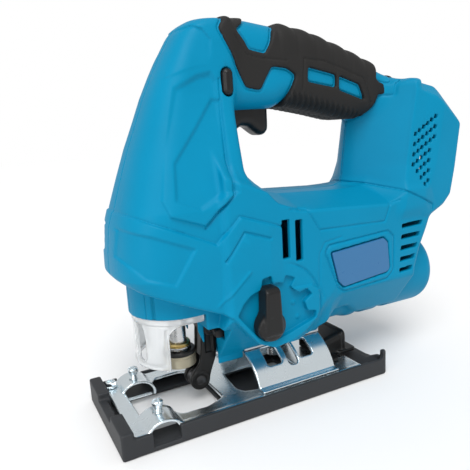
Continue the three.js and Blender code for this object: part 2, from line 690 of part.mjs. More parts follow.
function makeArmature() {
  const shaft = bar('x', [0, MOTOR_Z], 2.5, GEAR_FRONT - 1, 196, 16);
  const core = bar('x', [0, MOTOR_Z], 12, 124, 162, 20);
  const winding = bar('x', [0, MOTOR_Z], 10, 119, 167, 20);
  const commutator = bar('x', [0, MOTOR_Z], 6, 168, 180, 20);
  const slots = [0, 1, 2, 3, 4].map((index) => {
    const geometry = new THREE.BoxGeometry(40, 2, 5);
    geometry.translate(0, 0, 12.5);
    geometry.rotateX(2 * Math.PI * index / 5);
    geometry.translate(143, 0, MOTOR_Z);
    return solid(geometry);
  });
  return join(cut(join(shaft, core), ...slots), winding, commutator);
}

function makeMotorCan() {
  const can = bar('x', [0, MOTOR_Z], 18.5, 112, 182, 32);
  const inner = bar('x', [0, MOTOR_Z], 16.9, 114, 183, 32);
  const nose = bar('x', [0, MOTOR_Z], 6, 110, 116, 20);
  const windows = [-1, 1].map((side) => (
    box(117, 123, side * 17 - 3, side * 17 + 3, MOTOR_Z - 5, MOTOR_Z + 5)
  ));
  return cut(can, inner, nose, ...windows);
}

function makeMagnet(side) {
  const ring = cut(
    bar('x', [0, MOTOR_Z], 16.5, 122, 164, 32),
    bar('x', [0, MOTOR_Z], 12.6, 121, 165, 32),
  );
  const z0 = side > 0 ? MOTOR_Z + 5 : MOTOR_Z - 20;
  const z1 = side > 0 ? MOTOR_Z + 20 : MOTOR_Z - 5;
  return ring.intersect(box(120, 166, -20, 20, z0, z1));
}

function makeBrushCap() {
  const cap = join(
    bar('x', [0, MOTOR_Z], 16.4, 166, 184, 32),
    bar('x', [0, MOTOR_Z], 18.5, 182.4, 188, 32),
  );
  const hollow = bar('x', [0, MOTOR_Z], 14.6, 165, 185, 32);
  const seat = bar('x', [0, MOTOR_Z], 7.9, 184, 190, 24);
  const guides = [-1, 1].map((side) => (
    box(170, 176, side * 15.5 - 2.5, side * 15.5 + 2.5, MOTOR_Z - 3.2, MOTOR_Z + 3.2)
  ));
  return cut(cap, hollow, seat, ...guides);
}

function makeBrush(side) {
  const y0 = Math.min(side * 6.4, side * 16.2);
  const y1 = Math.max(side * 6.4, side * 16.2);
  return box(170.4, 175.6, y0, y1, MOTOR_Z - 2.8, MOTOR_Z + 2.8);
}

function makeBearing(x0, x1) {
  return cut(
    bar('x', [0, MOTOR_Z], 7.6, x0, x1, 24),
    bar('x', [0, MOTOR_Z], 2.8, x0 - 1, x1 + 1, 16),
  );
}

// ---------------------------------------------------------------- controls and running gear

function makeKnob() {
  const face = -41.5;
  const skirt = bar('y', KNOB_CENTRE, 7.8, face, -33.2, 32);
  const lever = plate('y', [
    [75.4, 50], [84.6, 50], [84.6, 68], [83.4, 70.6], [76.6, 70.6], [75.4, 68],
  ], face - 1, -33.2, 1);
  return join(skirt, lever);
}

function makeSelectorShaft() {
  const shaft = bar('y', KNOB_CENTRE, 3.9, -32.9, -13, 20);
  const cam = bar('y', [KNOB_CENTRE[0] - 1.2, KNOB_CENTRE[1]], 5.2, -21, -13, 24);
  return join(shaft, cam);
}

function makeRollerArm() {
  const [px, pz] = ARM_PIVOT;
  const [rx, rz] = ROLLER_CENTRE;
  const cheekShape = [
    [px - 4.2, pz], [px + 4.2, pz], [px + 3.6, pz - 20], [rx + 6.2, rz + 5], [rx + 5.4, rz - 3],
    [rx, rz - 5.3], [rx - 4.6, rz - 3], [rx - 5.3, rz + 1], [rx - 3.4, rz + 4.2], [px - 4.3, pz - 21],
  ];
  const cheeks = [-1, 1].map((side) => {
    const y0 = Math.min(side * 3.2, side * 5);
    const y1 = Math.max(side * 3.2, side * 5);
    return plate('y', cheekShape, y0, y1);
  });
  const head = bar('y', ARM_PIVOT, 4.6, -8.4, 8.4, 20);
  const bridge = box(px - 3.8, px + 3.4, -4, 4, pz - 17, pz - 3);
  const tail = plate('y', [[px, pz - 2], [px + 11, pz], [px + 11, pz + 4], [px, pz + 2.4]], -19, -15);
  const link = bar('y', ARM_PIVOT, 3, -19, -8, 16);
  return cut(join(head, ...cheeks, bridge, tail, link), bar('y', ROLLER_CENTRE, 2.3, -6, 6, 16));
}

function makeRoller() {
  const half = 2.9;
  const profile = [
    [2.3, -half], [ROLLER_RADIUS, -half], [ROLLER_RADIUS, -0.9], [ROLLER_RADIUS - 0.8, 0],
    [ROLLER_RADIUS, 0.9], [ROLLER_RADIUS, half], [2.3, half], [2.3, -half],
  ];
  const geometry = new THREE.LatheGeometry(profile.map(([r, y]) => new THREE.Vector2(r, y)), 24);
  geometry.translate(ROLLER_CENTRE[0], 0, ROLLER_CENTRE[1]);
  return solid(geometry);
}

function makeTrigger() {
  return plate('y', [
    [78.6, 165], [78.6, 142.4], [80.5, 144], [83.5, 147.6], [87, 149.4], [91, 148.6], [94.5, 145.6],
    [97.5, 143.6], [100.5, 143.8], [102.6, 146], [102.9, 150], [102.9, 165],
  ], -TRIGGER_HALF, TRIGGER_HALF, 1.2);
}

function makeLockButton() {
  return plate('y', pill(BUTTON_CENTRE, 2.8, 6.6), -20.4, 16, 0.8);
}

function makeGuard() {
  const outer = plate('z', nosePlan(GUARD_RADIUS, GUARD_REAR), GUARD_BOTTOM, GUARD_TOP);
  const hollow = nosePlan(GUARD_RADIUS - GUARD_WALL, GUARD_REAR + 1);
  const inner = plate('z', hollow, GUARD_BOTTOM - 1, GUARD_TOP + 1);
  const frontWindow = box(10, 30, -5, 5, GUARD_BOTTOM + 3, GUARD_TOP - 13);
  const rearWindows = box(34, 60, -30, 30, GUARD_BOTTOM - 1, GUARD_TOP - 13);
  return cut(outer, inner, frontWindow, rearWindows);
}

// ---------------------------------------------------------------- electrics

function makeTerminalBlock() {
  const body = block([[196, 112, 17], [200, 146, 17], [200.5, 112, 17], [205, 146, 17]]);
  const ledge = block([[200, 128, 17], [202, 146, 17], [206.5, 128, 17], [208.6, 146, 17]]);
  const slots = bladeSpots().map(([, slot]) => slot);
  return cut(join(body, ledge), ...slots);
}

// The contact blades and the slots that hold them, left and right.
function bladeSpots() {
  return [-1, 1].map((side) => {
    const y = side * 10;
    const blade = box(197, 207, y - 0.6, y + 0.6, 116, 138);
    const slot = box(196.6, 215, y - 0.9, y + 0.9, 115.6, 138.4);
    return [blade, slot];
  });
}

// ---------------------------------------------------------------- assembly

add('base_plate', 'zinc', makeBasePlate());
add('base_shoe', 'shoe', makeBaseShoe());
add('tilt_bracket', 'zinc', makeTiltBracket());
add('edge_guide_bolt', 'zinc', makeGuideBolt());
add('dust_nozzle', 'black', makeDustNozzle());
add('fence_screw_left', 'zinc', makeFenceScrew(-1));
add('fence_screw_right', 'zinc', makeFenceScrew(1));
add('bevel_bolt', 'steel', cut(
  join(bar('z', [KEY_HOLE_X, 0], 4.5, 15.5, 20.4, 20), bar('z', [KEY_HOLE_X, 0], 2.5, 20, 39, 16)),
  bar('z', [KEY_HOLE_X, 0], 2.2, 14, 18.4, 6),
));
add('bevel_washer', 'steel', cut(
  arch(KEY_HOLE_X - 6, KEY_HOLE_X + 6, 21.4, TILT_RADIUS - TILT_WALL - GAP, 76, 104),
  bar('z', [KEY_HOLE_X, 0], 2.9, 18, 30, 16),
));

add('left_housing', 'blue', makeHousing(-1));
add('right_housing', 'blue', makeHousing(1));
add('left_grip', 'rubber', makeGrip(-1));
add('right_grip', 'rubber', makeGrip(1));
add('label_plate', 'label', labelShape(0, -HOUSING_HALF + 1));
SCREWS.forEach((centre, index) => add(`housing_screw_${index + 1}`, 'steel', makeScrew(centre)));

add('gear_frame', 'aluminium', makeGearFrame());
add('tilt_saddle', 'aluminium', makeTiltSaddle());
add('upper_bushing', 'brass', makeBushing(111, 119));
add('lower_bushing', 'brass', makeBushing(56.5, 66));
add('gear_axle', 'steel', bar('x', [0, GEAR_Z], 4, GEAR_FRONT - 1, GEAR_REAR + 6, 20));
add('front_bearing', 'steel', makeBearing(GEAR_REAR + 2.2, GEAR_REAR + 6.3));
add('rear_bearing', 'steel', makeBearing(184.4, 188));
add('motor_can', 'zinc', makeMotorCan());
add('upper_magnet', 'black', makeMagnet(1));
add('lower_magnet', 'black', makeMagnet(-1));
add('brush_cap', 'black', makeBrushCap());
add('left_brush', 'copper', makeBrush(-1));
add('right_brush', 'copper', makeBrush(1));
add('switch_module', 'black', box(80, 118, -10.5, 10.5, 172.5, 190));
add('control_board', 'green', block([[186.5, 112, 24], [192, 150, 24], [188.5, 112, 24], [194, 150, 24]]));
add('terminal_block', 'black', makeTerminalBlock());
bladeSpots().forEach(([blade], index) => {
  add(['left_terminal', 'right_terminal'][index], 'brass', blade);
});

add('crank_gear', 'steel', makeCrankGear());
add('crank_pin', 'steel', bar('x', [0, YOKE_Z], 2.5, YOKE_REAR + GAP, GEAR_FRONT + 3.6, 16));
add('motor_armature', 'copper', makeArmature());
add('pinion', 'steel', makePinion());
add('cooling_fan', 'aluminium', makeFan());
add('plunger_rod', 'steel', makeRod());
add('plunger_yoke', 'steel', makeYoke());
add('clamp_body', 'steel', makeClampBody());
add('clamp_sleeve', 'khaki', makeClampSleeve());

add('selector_knob', 'black', makeKnob());
add('selector_shaft', 'steel', makeSelectorShaft());
add('roller_arm', 'black', makeRollerArm());
add('roller_pin', 'steel', bar('y', ROLLER_CENTRE, 2, -5.2, 5.2, 16));
add('guide_roller', 'steel', makeRoller());
add('trigger', 'rubber', makeTrigger());
add('lock_button', 'rubber', makeLockButton());
add('clear_guard', 'clear', makeGuard());

const bounds = new THREE.Box3().setFromObject(group);
const middle = bounds.getCenter(new THREE.Vector3());
group.position.set(-middle.x, -middle.y, 0);

export default group;
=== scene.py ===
import functools
import math

import bmesh
import bpy
import numpy as np
from mathutils import Matrix, Vector


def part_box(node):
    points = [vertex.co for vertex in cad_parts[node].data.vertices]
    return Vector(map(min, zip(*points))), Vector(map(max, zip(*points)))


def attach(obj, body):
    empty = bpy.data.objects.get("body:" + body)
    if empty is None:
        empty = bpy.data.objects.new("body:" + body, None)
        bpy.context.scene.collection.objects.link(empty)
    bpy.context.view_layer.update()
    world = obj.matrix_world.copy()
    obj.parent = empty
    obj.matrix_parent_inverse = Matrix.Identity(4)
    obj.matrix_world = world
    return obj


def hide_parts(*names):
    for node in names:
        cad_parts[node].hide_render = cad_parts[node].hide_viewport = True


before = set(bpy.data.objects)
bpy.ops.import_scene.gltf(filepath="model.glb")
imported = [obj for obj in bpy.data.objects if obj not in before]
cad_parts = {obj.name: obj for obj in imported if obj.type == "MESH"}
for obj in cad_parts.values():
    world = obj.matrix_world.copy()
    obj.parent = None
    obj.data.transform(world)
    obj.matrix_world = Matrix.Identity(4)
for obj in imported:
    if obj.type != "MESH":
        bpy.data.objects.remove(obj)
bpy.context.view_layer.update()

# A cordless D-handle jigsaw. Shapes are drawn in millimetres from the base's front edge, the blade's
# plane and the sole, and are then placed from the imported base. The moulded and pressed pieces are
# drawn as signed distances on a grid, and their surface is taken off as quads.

MM = 0.001
shoe_low, shoe_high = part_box("base_shoe")
ORIGIN = np.array([shoe_low.x, (shoe_low.y + shoe_high.y) / 2, 0.0])
GAP = 0.15  # half the joint line between the two halves, mm
WALL = 2.6  # of the casing, mm
MOST_FACES = 190000  # triangles in one piece

# ---------------------------------------------------------------- distance fields


class Field:
    """Points of a box of space: x backwards, w outwards from the blade's plane, z up."""

    def __init__(self, low, high, step):
        axes = [np.arange(a, b + step, step, dtype=np.float32) for a, b in zip(low, high)]
        self.x = axes[0][:, None, None]
        self.w = axes[1][None, :, None]
        self.z = axes[2][None, None, :]
        self.low = np.array(low, float)
        self.step = step


def common(*fields):
    """What all the fields share, with sharp edges."""
    return functools.reduce(np.maximum, fields)


def either(*fields):
    """Union of fields, with sharp edges."""
    return functools.reduce(np.minimum, fields)


def stretches(a, b, points):
    """For each straight stretch of a line: its ends' b, where its left side is, and the squared distance."""
    for (ax, ay), (bx, by) in zip(points, points[1:]):
        ex, ey = bx - ax, by - ay
        wx, wy = a - ax, b - ay
        t = np.clip((wx * ex + wy * ey) / (ex * ex + ey * ey), 0, 1)
        yield ay, by, ex * wy > ey * wx, (wx - ex * t) ** 2 + (wy - ey * t) ** 2


def outline(a, b, points):
    """Signed distance to a closed outline, negative inside."""
    best = np.full(np.broadcast(a, b).shape, 1e9, np.float32)
    inside = np.zeros(best.shape, bool)
    for start, end, left, square in stretches(a, b, [*points, points[0]]):
        best = either(best, square)
        up = (b >= start) & (b < end) & left
        down = (b < start) & (b >= end) & ~left
        inside ^= up | down
    return np.where(inside, -1, 1).astype(np.float32) * np.sqrt(best)


def line(a, b, points):
    """Distance to an open line of straight stretches."""
    return np.sqrt(either(*(square for *_, square in stretches(a, b, points))))


def rounded(a, b, a0, a1, b0, b1, radius):
    """Signed distance to a rectangle with rounded corners."""
    over_a = np.abs(a - (a0 + a1) / 2) - (a1 - a0) / 2 + radius
    over_b = np.abs(b - (b0 + b1) / 2) - (b1 - b0) / 2 + radius
    outside = np.hypot(np.maximum(over_a, 0), np.maximum(over_b, 0))
    return outside + np.minimum(common(over_a, over_b), 0) - radius


def soften(values, radius, step, axes=(0, 2)):
    """Rounds the corners of a flat map that spans two axes."""
    for _ in range(max(1, int(2 * (radius / step) ** 2))):
        for axis in axes:
            pad = [(0, 0)] * 3
            pad[axis] = (1, 1)
            wide = np.pad(values, pad, mode="edge")
            size = values.shape[axis]
            parts = [np.take(wide, range(k, k + size), axis) for k in (0, 1, 2)]
            values = (parts[0] + 2 * parts[1] + parts[2]) / 4
    return values


def smin(a, b, k):
    """Union of two fields, blended over k millimetres."""
    h = np.maximum(k - np.abs(a - b), 0) / k
    return either(a, b) - h * h * k / 4


def smax(a, b, k):
    """What two fields share, with the edge rounded over k millimetres."""
    return -smin(-a, -b, k)


def ramp(distance, width):
    """1 well inside an outline, 0 well outside it, with a slope of the given width between."""
    t = np.clip(0.5 - distance / width, 0, 1)
    return t * t * (3 - 2 * t)


def ridge(distance, half_width):
    """1 on a line, falling smoothly to 0 at the half width."""
    t = np.clip(1 - distance / half_width, 0, 1)
    return t * t * (3 - 2 * t)


def slab(v, low, high):
    """Signed distance to the range from low to high along one axis."""
    return np.abs(v - (low + high) / 2) - (high - low) / 2


def block(f, x0, x1, w0, w1, z0, z1):
    """A box."""
    return common(slab(f.x, x0, x1), slab(f.w, w0, w1), slab(f.z, z0, z1))


def disc(a, b, centre, radius):
    """Signed distance to a circle, or to a cylinder along the third axis."""
    return np.hypot(a - centre[0], b - centre[1]) - radius


def table(v, at, values):
    """Straight-line interpolation along one axis."""
    return np.interp(v, at, values).astype(np.float32)


def surface(f, values):
    """Points (in millimetres) and quads of the zero surface of a field."""
    shape = values.shape
    inside = values < 0
    strides = np.array([shape[1] * shape[2], shape[2], 1])
    cells, spots = [], []
    for axis in range(3):
        first = [slice(None)] * 3
        second = [slice(None)] * 3
        first[axis] = slice(0, -1)
        second[axis] = slice(1, None)
        a, b = values[tuple(first)], values[tuple(second)]
        i, j, k = np.nonzero(inside[tuple(first)] != inside[tuple(second)])
        va, vb = a[i, j, k], b[i, j, k]
        at = np.stack([i, j, k], 1).astype(float)
        at[:, axis] += va / (va - vb)
        base = np.stack([i, j, k], 1) @ strides
        u, v = [n for n in range(3) if n != axis]
        around = [(0, 0), (1, 0), (1, 1), (0, 1)]
        quad = np.stack([base - du * strides[u] - dv * strides[v] for du, dv in around], 1)
        turn = (va > 0) != (axis == 1)
        quad[turn] = quad[turn][:, ::-1]
        cells.append(quad)
        spots.append(at)
    cells = np.concatenate(cells)
    spots = np.repeat(np.concatenate(spots), 4, axis=0)
    ids, index = np.unique(cells.reshape(-1), return_inverse=True)
    count = np.bincount(index, minlength=len(ids))
    points = np.stack([np.bincount(index, spots[:, n], len(ids)) / count for n in range(3)], 1)
    return f.low + points * f.step, index.reshape(-1, 4)


def add(name, data):
    """A new object in the scene."""
    obj = bpy.data.objects.new(name, data)
    bpy.context.scene.collection.objects.link(obj)
    return obj


def smooth(mesh):
    """Smooth shading all over."""
    mesh.polygons.foreach_set("use_smooth", [True] * len(mesh.polygons))


def raw_mesh(name, points, faces):
    """A mesh from points in millimetres of the drawing."""
    mesh = bpy.data.meshes.new(name)
    mesh.from_pydata((np.asarray(points) * MM + ORIGIN).tolist(), [], faces)
    return mesh


def bake(obj):
    """Applies an object's modifiers."""
    graph = bpy.context.evaluated_depsgraph_get()
    mesh = bpy.data.meshes.new_from_object(obj.evaluated_get(graph))
    obj.modifiers.clear()
    obj.data = mesh


def cast(name, f, values, side, most=MOST_FACES):
    """A piece from a field drawn in x, w, z; side -1 puts it on the left, +1 on the right."""
    points, quads = surface(f, values)
    points[:, 1] *= side
    if side < 0:
        quads = quads[:, ::-1]
    mesh = raw_mesh(name, points, quads.tolist())
    mesh.validate()
    smooth(mesh)
    obj = add(name, mesh)
    if 2 * len(quads) > most:
        thin = obj.modifiers.new("thin", "DECIMATE")
        thin.ratio = most / (2 * len(quads))
        bake(obj)
        smooth(obj.data)
    return obj


# ---------------------------------------------------------------- housing

NOSE_SIDE = [(-6, 83), (11, 80), (20, 74), (34, 69.4), (54, 60), (62, 58), (72, 76), (76, 118), (76, 199.2),
             (60, 200), (46, 195.6), (-6, 196)]
TRUNK_SIDE = [(53.5, 35), (116, 35), (130, 43.5), (139, 44), (150, 36), (182, 36), (183, 62), (186.5, 73),
              (191.8, 84), (196.2, 95), (197, 99), (188, 118), (60, 140), (60, 60)]
PILLAR_SIDE = [(151.5, 96), (153.5, 110), (158.6, 150), (164, 170.5), (192, 170.5), (190, 96)]
BOX_SIDE = [(174.5, 108), (184, 164.5), (199, 159), (217, 143), (213, 118), (209.6, 103), (204.6, 98),
            (193, 92.6), (188, 92.6)]
BOX_OUTLINE = [(173, 98), (176, 110), (186, 169.5), (203, 165.5), (217.6, 146), (213.8, 118), (210.8, 101.4),
               (205.6, 95.4), (193, 89), (186, 89)]
HANDLE_SIDE = [(58, 196), (70, 200.8), (87, 201.6), (106, 198.8), (126, 195), (148, 187.6), (171, 178.6),
               (190, 169), (184, 152), (150, 152), (133, 156), (110, 160.5), (103, 157),
               (76, 156.5), (66, 150)]

NOSE_PANEL = [(46, 167.5), (58, 173.3), (64.5, 174.6), (67, 171), (66, 139), (64.8, 118), (50, 104.8),
              (33.5, 110.8), (31, 118), (35.7, 136.7)]
NOSE_INSET = [(64, 162.5), (53.5, 149.4), (42.6, 137), (40, 134), (37.5, 117.5), (48.5, 112.5), (61.3, 118.5),
              (68, 119), (68, 162)]
RAISED_SHELL = [(-8, 118), (17.6, 111.6), (33, 105.2), (55.2, 95), (67.3, 107.1), (90.2, 99.2), (91, 79),
                (112.5, 62), (112, 50), (110.4, 44.2), (96.2, 38.2), (84, 36.2), (74.5, 40.4), (60.7, 57),
                (56.6, 59.2), (34, 69), (10, 80), (-8, 84)]
SHELL_STEP = [(-8, 118), (17.6, 111.6), (33, 105.2), (55.2, 95), (67.3, 107.1), (90.2, 99.2)]
CHEEK_RECESS = [(14, 105.5), (24.5, 102.6), (43.9, 94.5), (33.2, 78.8), (20.8, 82.9), (12, 92)]
UNDERCUT = [(40, 64), (56, 58.4), (60.5, 56.4), (74.4, 40.4), (84, 36.2), (112, 36), (112, 18), (40, 18)]
LABEL = [(121, 80.5), (157.5, 83.5), (160.5, 80.5), (162, 65), (160, 63), (129, 60), (125.5, 63.5)]
LABEL_RING = [(117.4, 80.6), (119.6, 84.6), (161, 86.8), (165.2, 83.1), (165, 63.4), (160.6, 59.2),
              (129.4, 57.4), (125.4, 60.6)]
LABEL_FRAME = [(116, 56.5), (113.2, 63.5), (113.6, 80.8), (117, 86.6), (128, 88.2)]
TRUNK_SEAM = [(96, 106.8), (106.8, 105.3), (108.8, 102.4), (114.4, 93.8), (158.5, 92.6), (162.7, 101.6),
              (169.5, 103.4)]
BOX_SEAM = [(135.7, 115.8), (161.2, 112.3), (172.4, 108.7), (195, 98.1), (194.9, 94.7)]
DISH_FLOOR = 32.7  # w of the selector's dish
DISH = [(63.2, 57.8), (66.5, 63.2), (70.7, 66.9), (76.9, 69), (77.6, 74), (83, 75), (83.6, 70.4), (87, 70.6),
        (90.4, 69.4), (92, 73.4), (97.6, 71.1), (94.8, 66.6), (98.9, 63.2), (104.2, 64.4), (107.3, 60.7),
        (102.4, 57.5), (104.4, 52), (109.6, 51.2), (109.6, 47.2), (100, 44.4), (92, 42), (84, 40.8),
        (78, 41.2), (73.6, 44.6)]
DISH_RING = ((88, 54.5), 25.4)
DISH_STUDS = [(96.9, 57.4), (99.2, 49.2)]
NOSE_FACET = [(49, 194.6), (48.6, 189.6), (42.6, 173), (56, 177.4), (63.2, 178.4), (65.6, 184), (66.2, 190),
              (62.6, 194.9), (58.5, 196.8)]
KNOB_CENTRE = (80, 50)
CHIN_X = 43  # where the round front of the chin, and of the guard, has its axis
CHIN_RADIUS = 24
BARREL_AXIS = (0, 52)
BARREL_RADIUS = 23
BOX_HALF = 34.9
UNDER_CUT = (62, 49.6)  # the trunk is open ahead of this x and below this z, for the roller arm
SCREWS = [(62, 188), (25, 104), (70, 40), (110, 104.5), (172, 99), (170, 174)]

GRIP_SIDE = [(75.5, 214), (75.2, 202.5), (70, 195.6), (73.3, 189.1), (77, 182.7), (80.6, 174), (84, 167.3),
             (92.9, 165.8), (99.8, 177.4), (108.3, 176.6), (113.4, 173.4), (108.7, 161.5), (108, 157),
             (112, 148), (125, 146), (141, 145), (157, 145.5), (163.5, 151.6), (167.4, 156.4), (169.4, 162.1),
             (177.6, 161.2), (178.6, 167.4), (182, 169.4), (185.6, 170.8), (186.4, 178), (170, 192),
             (110, 214)]
GRIP_WINDOWS = [
    [(89, 214), (88.8, 201.6), (85.4, 198), (81.4, 195.2), (85, 190.2), (87.2, 186.3), (95.8, 184.6),
     (99, 189.4), (101, 195), (105, 198.9), (108, 201.4), (108.6, 214)],
    [(121.7, 177), (139.2, 173.1), (139, 167.1), (121.3, 170.3)],
    [(141.9, 172.4), (155.3, 167.9), (159.2, 159.9), (141.8, 165.6)],
    [(173, 186), (170.6, 178.8), (168, 171.2), (170, 169.6), (176.6, 168), (178.4, 170.4), (183, 174.6),
     (185, 186)],
]


def nose_body(f):
    """The tall front of the casing, a superellipse in plan that leans back with height."""
    front = table(f.z, [56, 70, 81, 92, 104, 115, 127, 141, 154, 165, 176, 186, 195, 201],
                  [20, 17, 11.5, 12, 13.5, 17, 21, 26, 31.5, 36, 41.5, 47, 52, 60])
    half = table(f.z, [56, 92, 112, 130, 141, 154, 165, 176, 186, 201],
                 [32, 33, 32.4, 27.4, 24.6, 21.6, 19.4, 17.8, 16.6, 15])
    reach = table(f.z, [80, 115, 141, 165, 190], [26, 24, 20, 16, 12])
    power = 2.6
    ahead = np.clip(1 - (f.x - front) / reach, 0, None)
    shell = ((ahead ** power + (np.abs(f.w) / half) ** power) ** (1 / power) - 1) * half
    return smax(shell, outline(f.x, f.z, NOSE_SIDE), 4)


def belly_body(f):
    """The round floor under the motor, ahead of the barrel."""
    return smax(disc(f.w, f.z, BARREL_AXIS, 21.4), slab(f.x, 106, 152), 5)


def chin_tube(f):
    """The round front above the guard."""
    return np.hypot(np.minimum(f.x - CHIN_X, 0), f.w) - CHIN_RADIUS


def flank_width(z):
    """Half the width of the slanted recess under the trunk's raised shell."""
    return 10.2 + 0.85 * np.maximum(z - 26.6, 0)


def trunk_body(f):
    """The long part that holds the motor, from the nose to the box."""
    x, w, z = f.x, f.w, f.z
    rear = np.clip((x - 116) / 14, 0, 1)
    under = np.clip(15.5 + (z - 31) * 0.72, 0, BOX_HALF)
    beyond = np.clip((x - 97) * 0.67 - (z - 36) * 0.741, 0, None) * (1 - rear)
    half = either(34.6 - 0.7 * beyond, 34.6 * (1 - rear) + rear * under)
    half = soften(half, 1, f.step)
    centre = table(x, [60, 76, 79, 83, 92, 101, 141, 150, 176],
                   [150, 133, 128, 123, 115.6, 113, 111, 111, 112])
    shoulder = table(x, [60, 84, 90, 103, 163, 176, 190], [128, 117, 111, 106, 102.5, 108, 108])
    across = np.clip((w - 15) / 18, 0, 1.2)
    top = (z - centre - (shoulder - centre) * across) * 0.9
    side = soften(outline(x, z, TRUNK_SIDE), 1, f.step)
    body = smax(smax((w - half) * 0.9, top, 1.4), side, 3)
    recess = common(outline(x, z, UNDERCUT), (flank_width(z) - w) * 0.85)
    return smax(smax(body, -recess, 0.8), either(UNDER_CUT[0] - x, UNDER_CUT[1] - z), 0.6)


def saddle_body(f):
    """The narrow foot of the casing, over the tilt bracket, with the roller arm in its front slot."""
    x, w, z = f.x, f.w, f.z
    over_bracket = 29.4 - np.hypot(w, z)
    bottom = np.where(x < 77.4, 22.7 - z, over_bracket)
    flank = (w - flank_width(z)) * 0.85
    foot = smax(smax(flank, bottom, 0.8), common(UNDER_CUT[0] - x, slab(x, 55, 127)), 0.8)
    foot = common(foot, z - 52, w - 30)
    fin_side = smax(slab(w, 10.2, 12.4), slab(x, 51, 54), 0.6)
    fin = smax(fin_side, common(37 + (54 - x) * 2.6 - z, z - 60), 0.6)
    return either(foot, fin)


PILLAR_FRONT = ([96, 110, 124, 146, 172], [152.5, 154, 155.6, 158.6, 165])
PILLAR_BACK = ([98, 109, 124, 162, 172], [171.6, 174, 178, 184.6, 186])


def waist(z):
    """Half the width where the pillar meets the box: narrower above the trunk."""
    return table(z, [104, 122], [34.8, 31.2])


def pillar_body(f):
    """The post behind the hand, a wedge that widens towards the box."""
    front = table(f.z, *PILLAR_FRONT)
    back = table(f.z, *PILLAR_BACK)
    along = np.clip((f.x - front) / (back - front), 0.0001, 1)
    half = waist(f.z) * along ** 0.86
    side = soften(outline(f.x, f.z, PILLAR_SIDE), 1, f.step)
    return smax((f.w - half) * 0.62, side, 5)


def box_body(f):
    """The box at the back, with the battery seat in its rear face."""
    behind = np.clip((f.x - table(f.z, *PILLAR_BACK)) / 20, 0, 1)
    half = BOX_HALF - np.clip(outline(f.x, f.z, BOX_SIDE), 0, None) - (34.8 - waist(f.z)) * (1 - behind)
    side = soften(outline(f.x, f.z, BOX_OUTLINE), 0.8, f.step)
    return smax((f.w - soften(half, 0.6, f.step)) * 0.85, side, 1.4)


def handle_body(f):
    """The handle's core, under the rubber skin."""
    side = soften(outline(f.x, f.z, HANDLE_SIDE), 2, f.step)
    return smax(side, f.w - 16.5, 13)


def barrel_body(f):
    """The motor's round end, with three notches underneath."""
    body = smax(disc(f.w, f.z, BARREL_AXIS, BARREL_RADIUS), slab(f.x, 145, 211.4), 8)
    for low, high in ((139, 147), (153, 160.5), (171, 179)):
        notch = common(slab(f.x, low, high), f.z - 35)
        body = smax(body, -notch, 1.2)
    return body


def body_field(f):
    """The closed outer form of the casing, without its relief."""
    body = smin(nose_body(f), trunk_body(f), 3)
    body = smin(body, handle_body(f), 6)
    body = smin(body, pillar_body(f), 6)
    body = smin(body, box_body(f), 1.6)
    body = smin(smin(body, barrel_body(f), 2), belly_body(f), 3)
    body = smin(body, saddle_body(f), 0.8)
    chin = smax(chin_tube(f), common(slab(f.z, 58, 80), f.x - 62), 1)
    skirt = smax(smax(f.w - 24, slab(f.x, 51.2, 62.4), 0.8), slab(f.z, 49.6, 70), 0.8)
    return smin(body, smin(chin, skirt, 0.4), 0.8)


def grip_region(f):
    """Side outline of the rubber skin, without its windows."""
    region = soften(outline(f.x, f.z, GRIP_SIDE), 0.9, f.step)
    for window in GRIP_WINDOWS:
        region = common(region, -soften(outline(f.x, f.z, window), 0.7, f.step))
    return region


def relief(f, left):
    """How far the moulded pattern stands out of the casing, or into it."""
    x, z = f.x, f.z

    def stroke(points, width):
        return ridge(line(x, z, points), width)

    panel = outline(x, z, NOSE_PANEL)
    lean = table(z, [106, 172], [1.7, -1.5])
    out = ramp(panel, table(z, [148, 168], [1.3, 3.6])) * lean
    out = out - 1.2 * ramp(outline(x, z, NOSE_INSET), 2.6)
    out = out + ramp(outline(x, z, NOSE_FACET), 1.2) * table(z, [174, 197], [0.5, -1.3])
    out = out - 0.9 * stroke([(68.8, 172), (67, 139), (65.8, 118), (50.5, 103.4)], 1.0)
    shell = outline(x, z, RAISED_SHELL)
    fade = np.clip((x - 83) / 8, 0, 1)
    out = out + 1.1 * ramp(shell, 0.9) * (1 - fade * (z > 66))
    out = out - 0.7 * stroke(SHELL_STEP, 0.9)
    out = out - 1.1 * ramp(outline(x, z, CHEEK_RECESS), 1.6)
    out = out - 0.9 * stroke([(59.1, 86.1), (69.2, 99.2), (83.6, 94.1)], 1.1)
    out = out + 0.5 * stroke([(54.2, 64.5), (70.8, 79)], 1.4)
    out = out - 0.6 * stroke(TRUNK_SEAM, 0.9)
    out = out - 0.9 * stroke(BOX_SEAM, 0.8)
    ring = soften(outline(x, z, LABEL_RING), 0.8, f.step)
    out = out - 0.9 * ridge(np.abs(ring), 0.9)
    out = out - 0.5 * stroke(LABEL_FRAME, 0.8)
    out = out + 0.3 * ramp(ring, 1.0)
    out = out - 0.7 * ridge(np.abs(grip_region(f)), 0.9)
    if left:
        centre, radius = DISH_RING
        arc = np.abs(disc(x, z, centre, radius))
        out = out - 0.7 * ridge(arc, 0.9) * np.clip((x - 92) / 8, 0, 1)
        pocket = soften(outline(x, z, LABEL), 0.6, f.step) - 0.5
        out = out - 1.5 * ramp(pocket, 0.5)
    return out


def seat_front(z):
    """Front face of the battery seat, which leans with the case's rear face."""
    return 202 + 7 * (z - 90) / 62


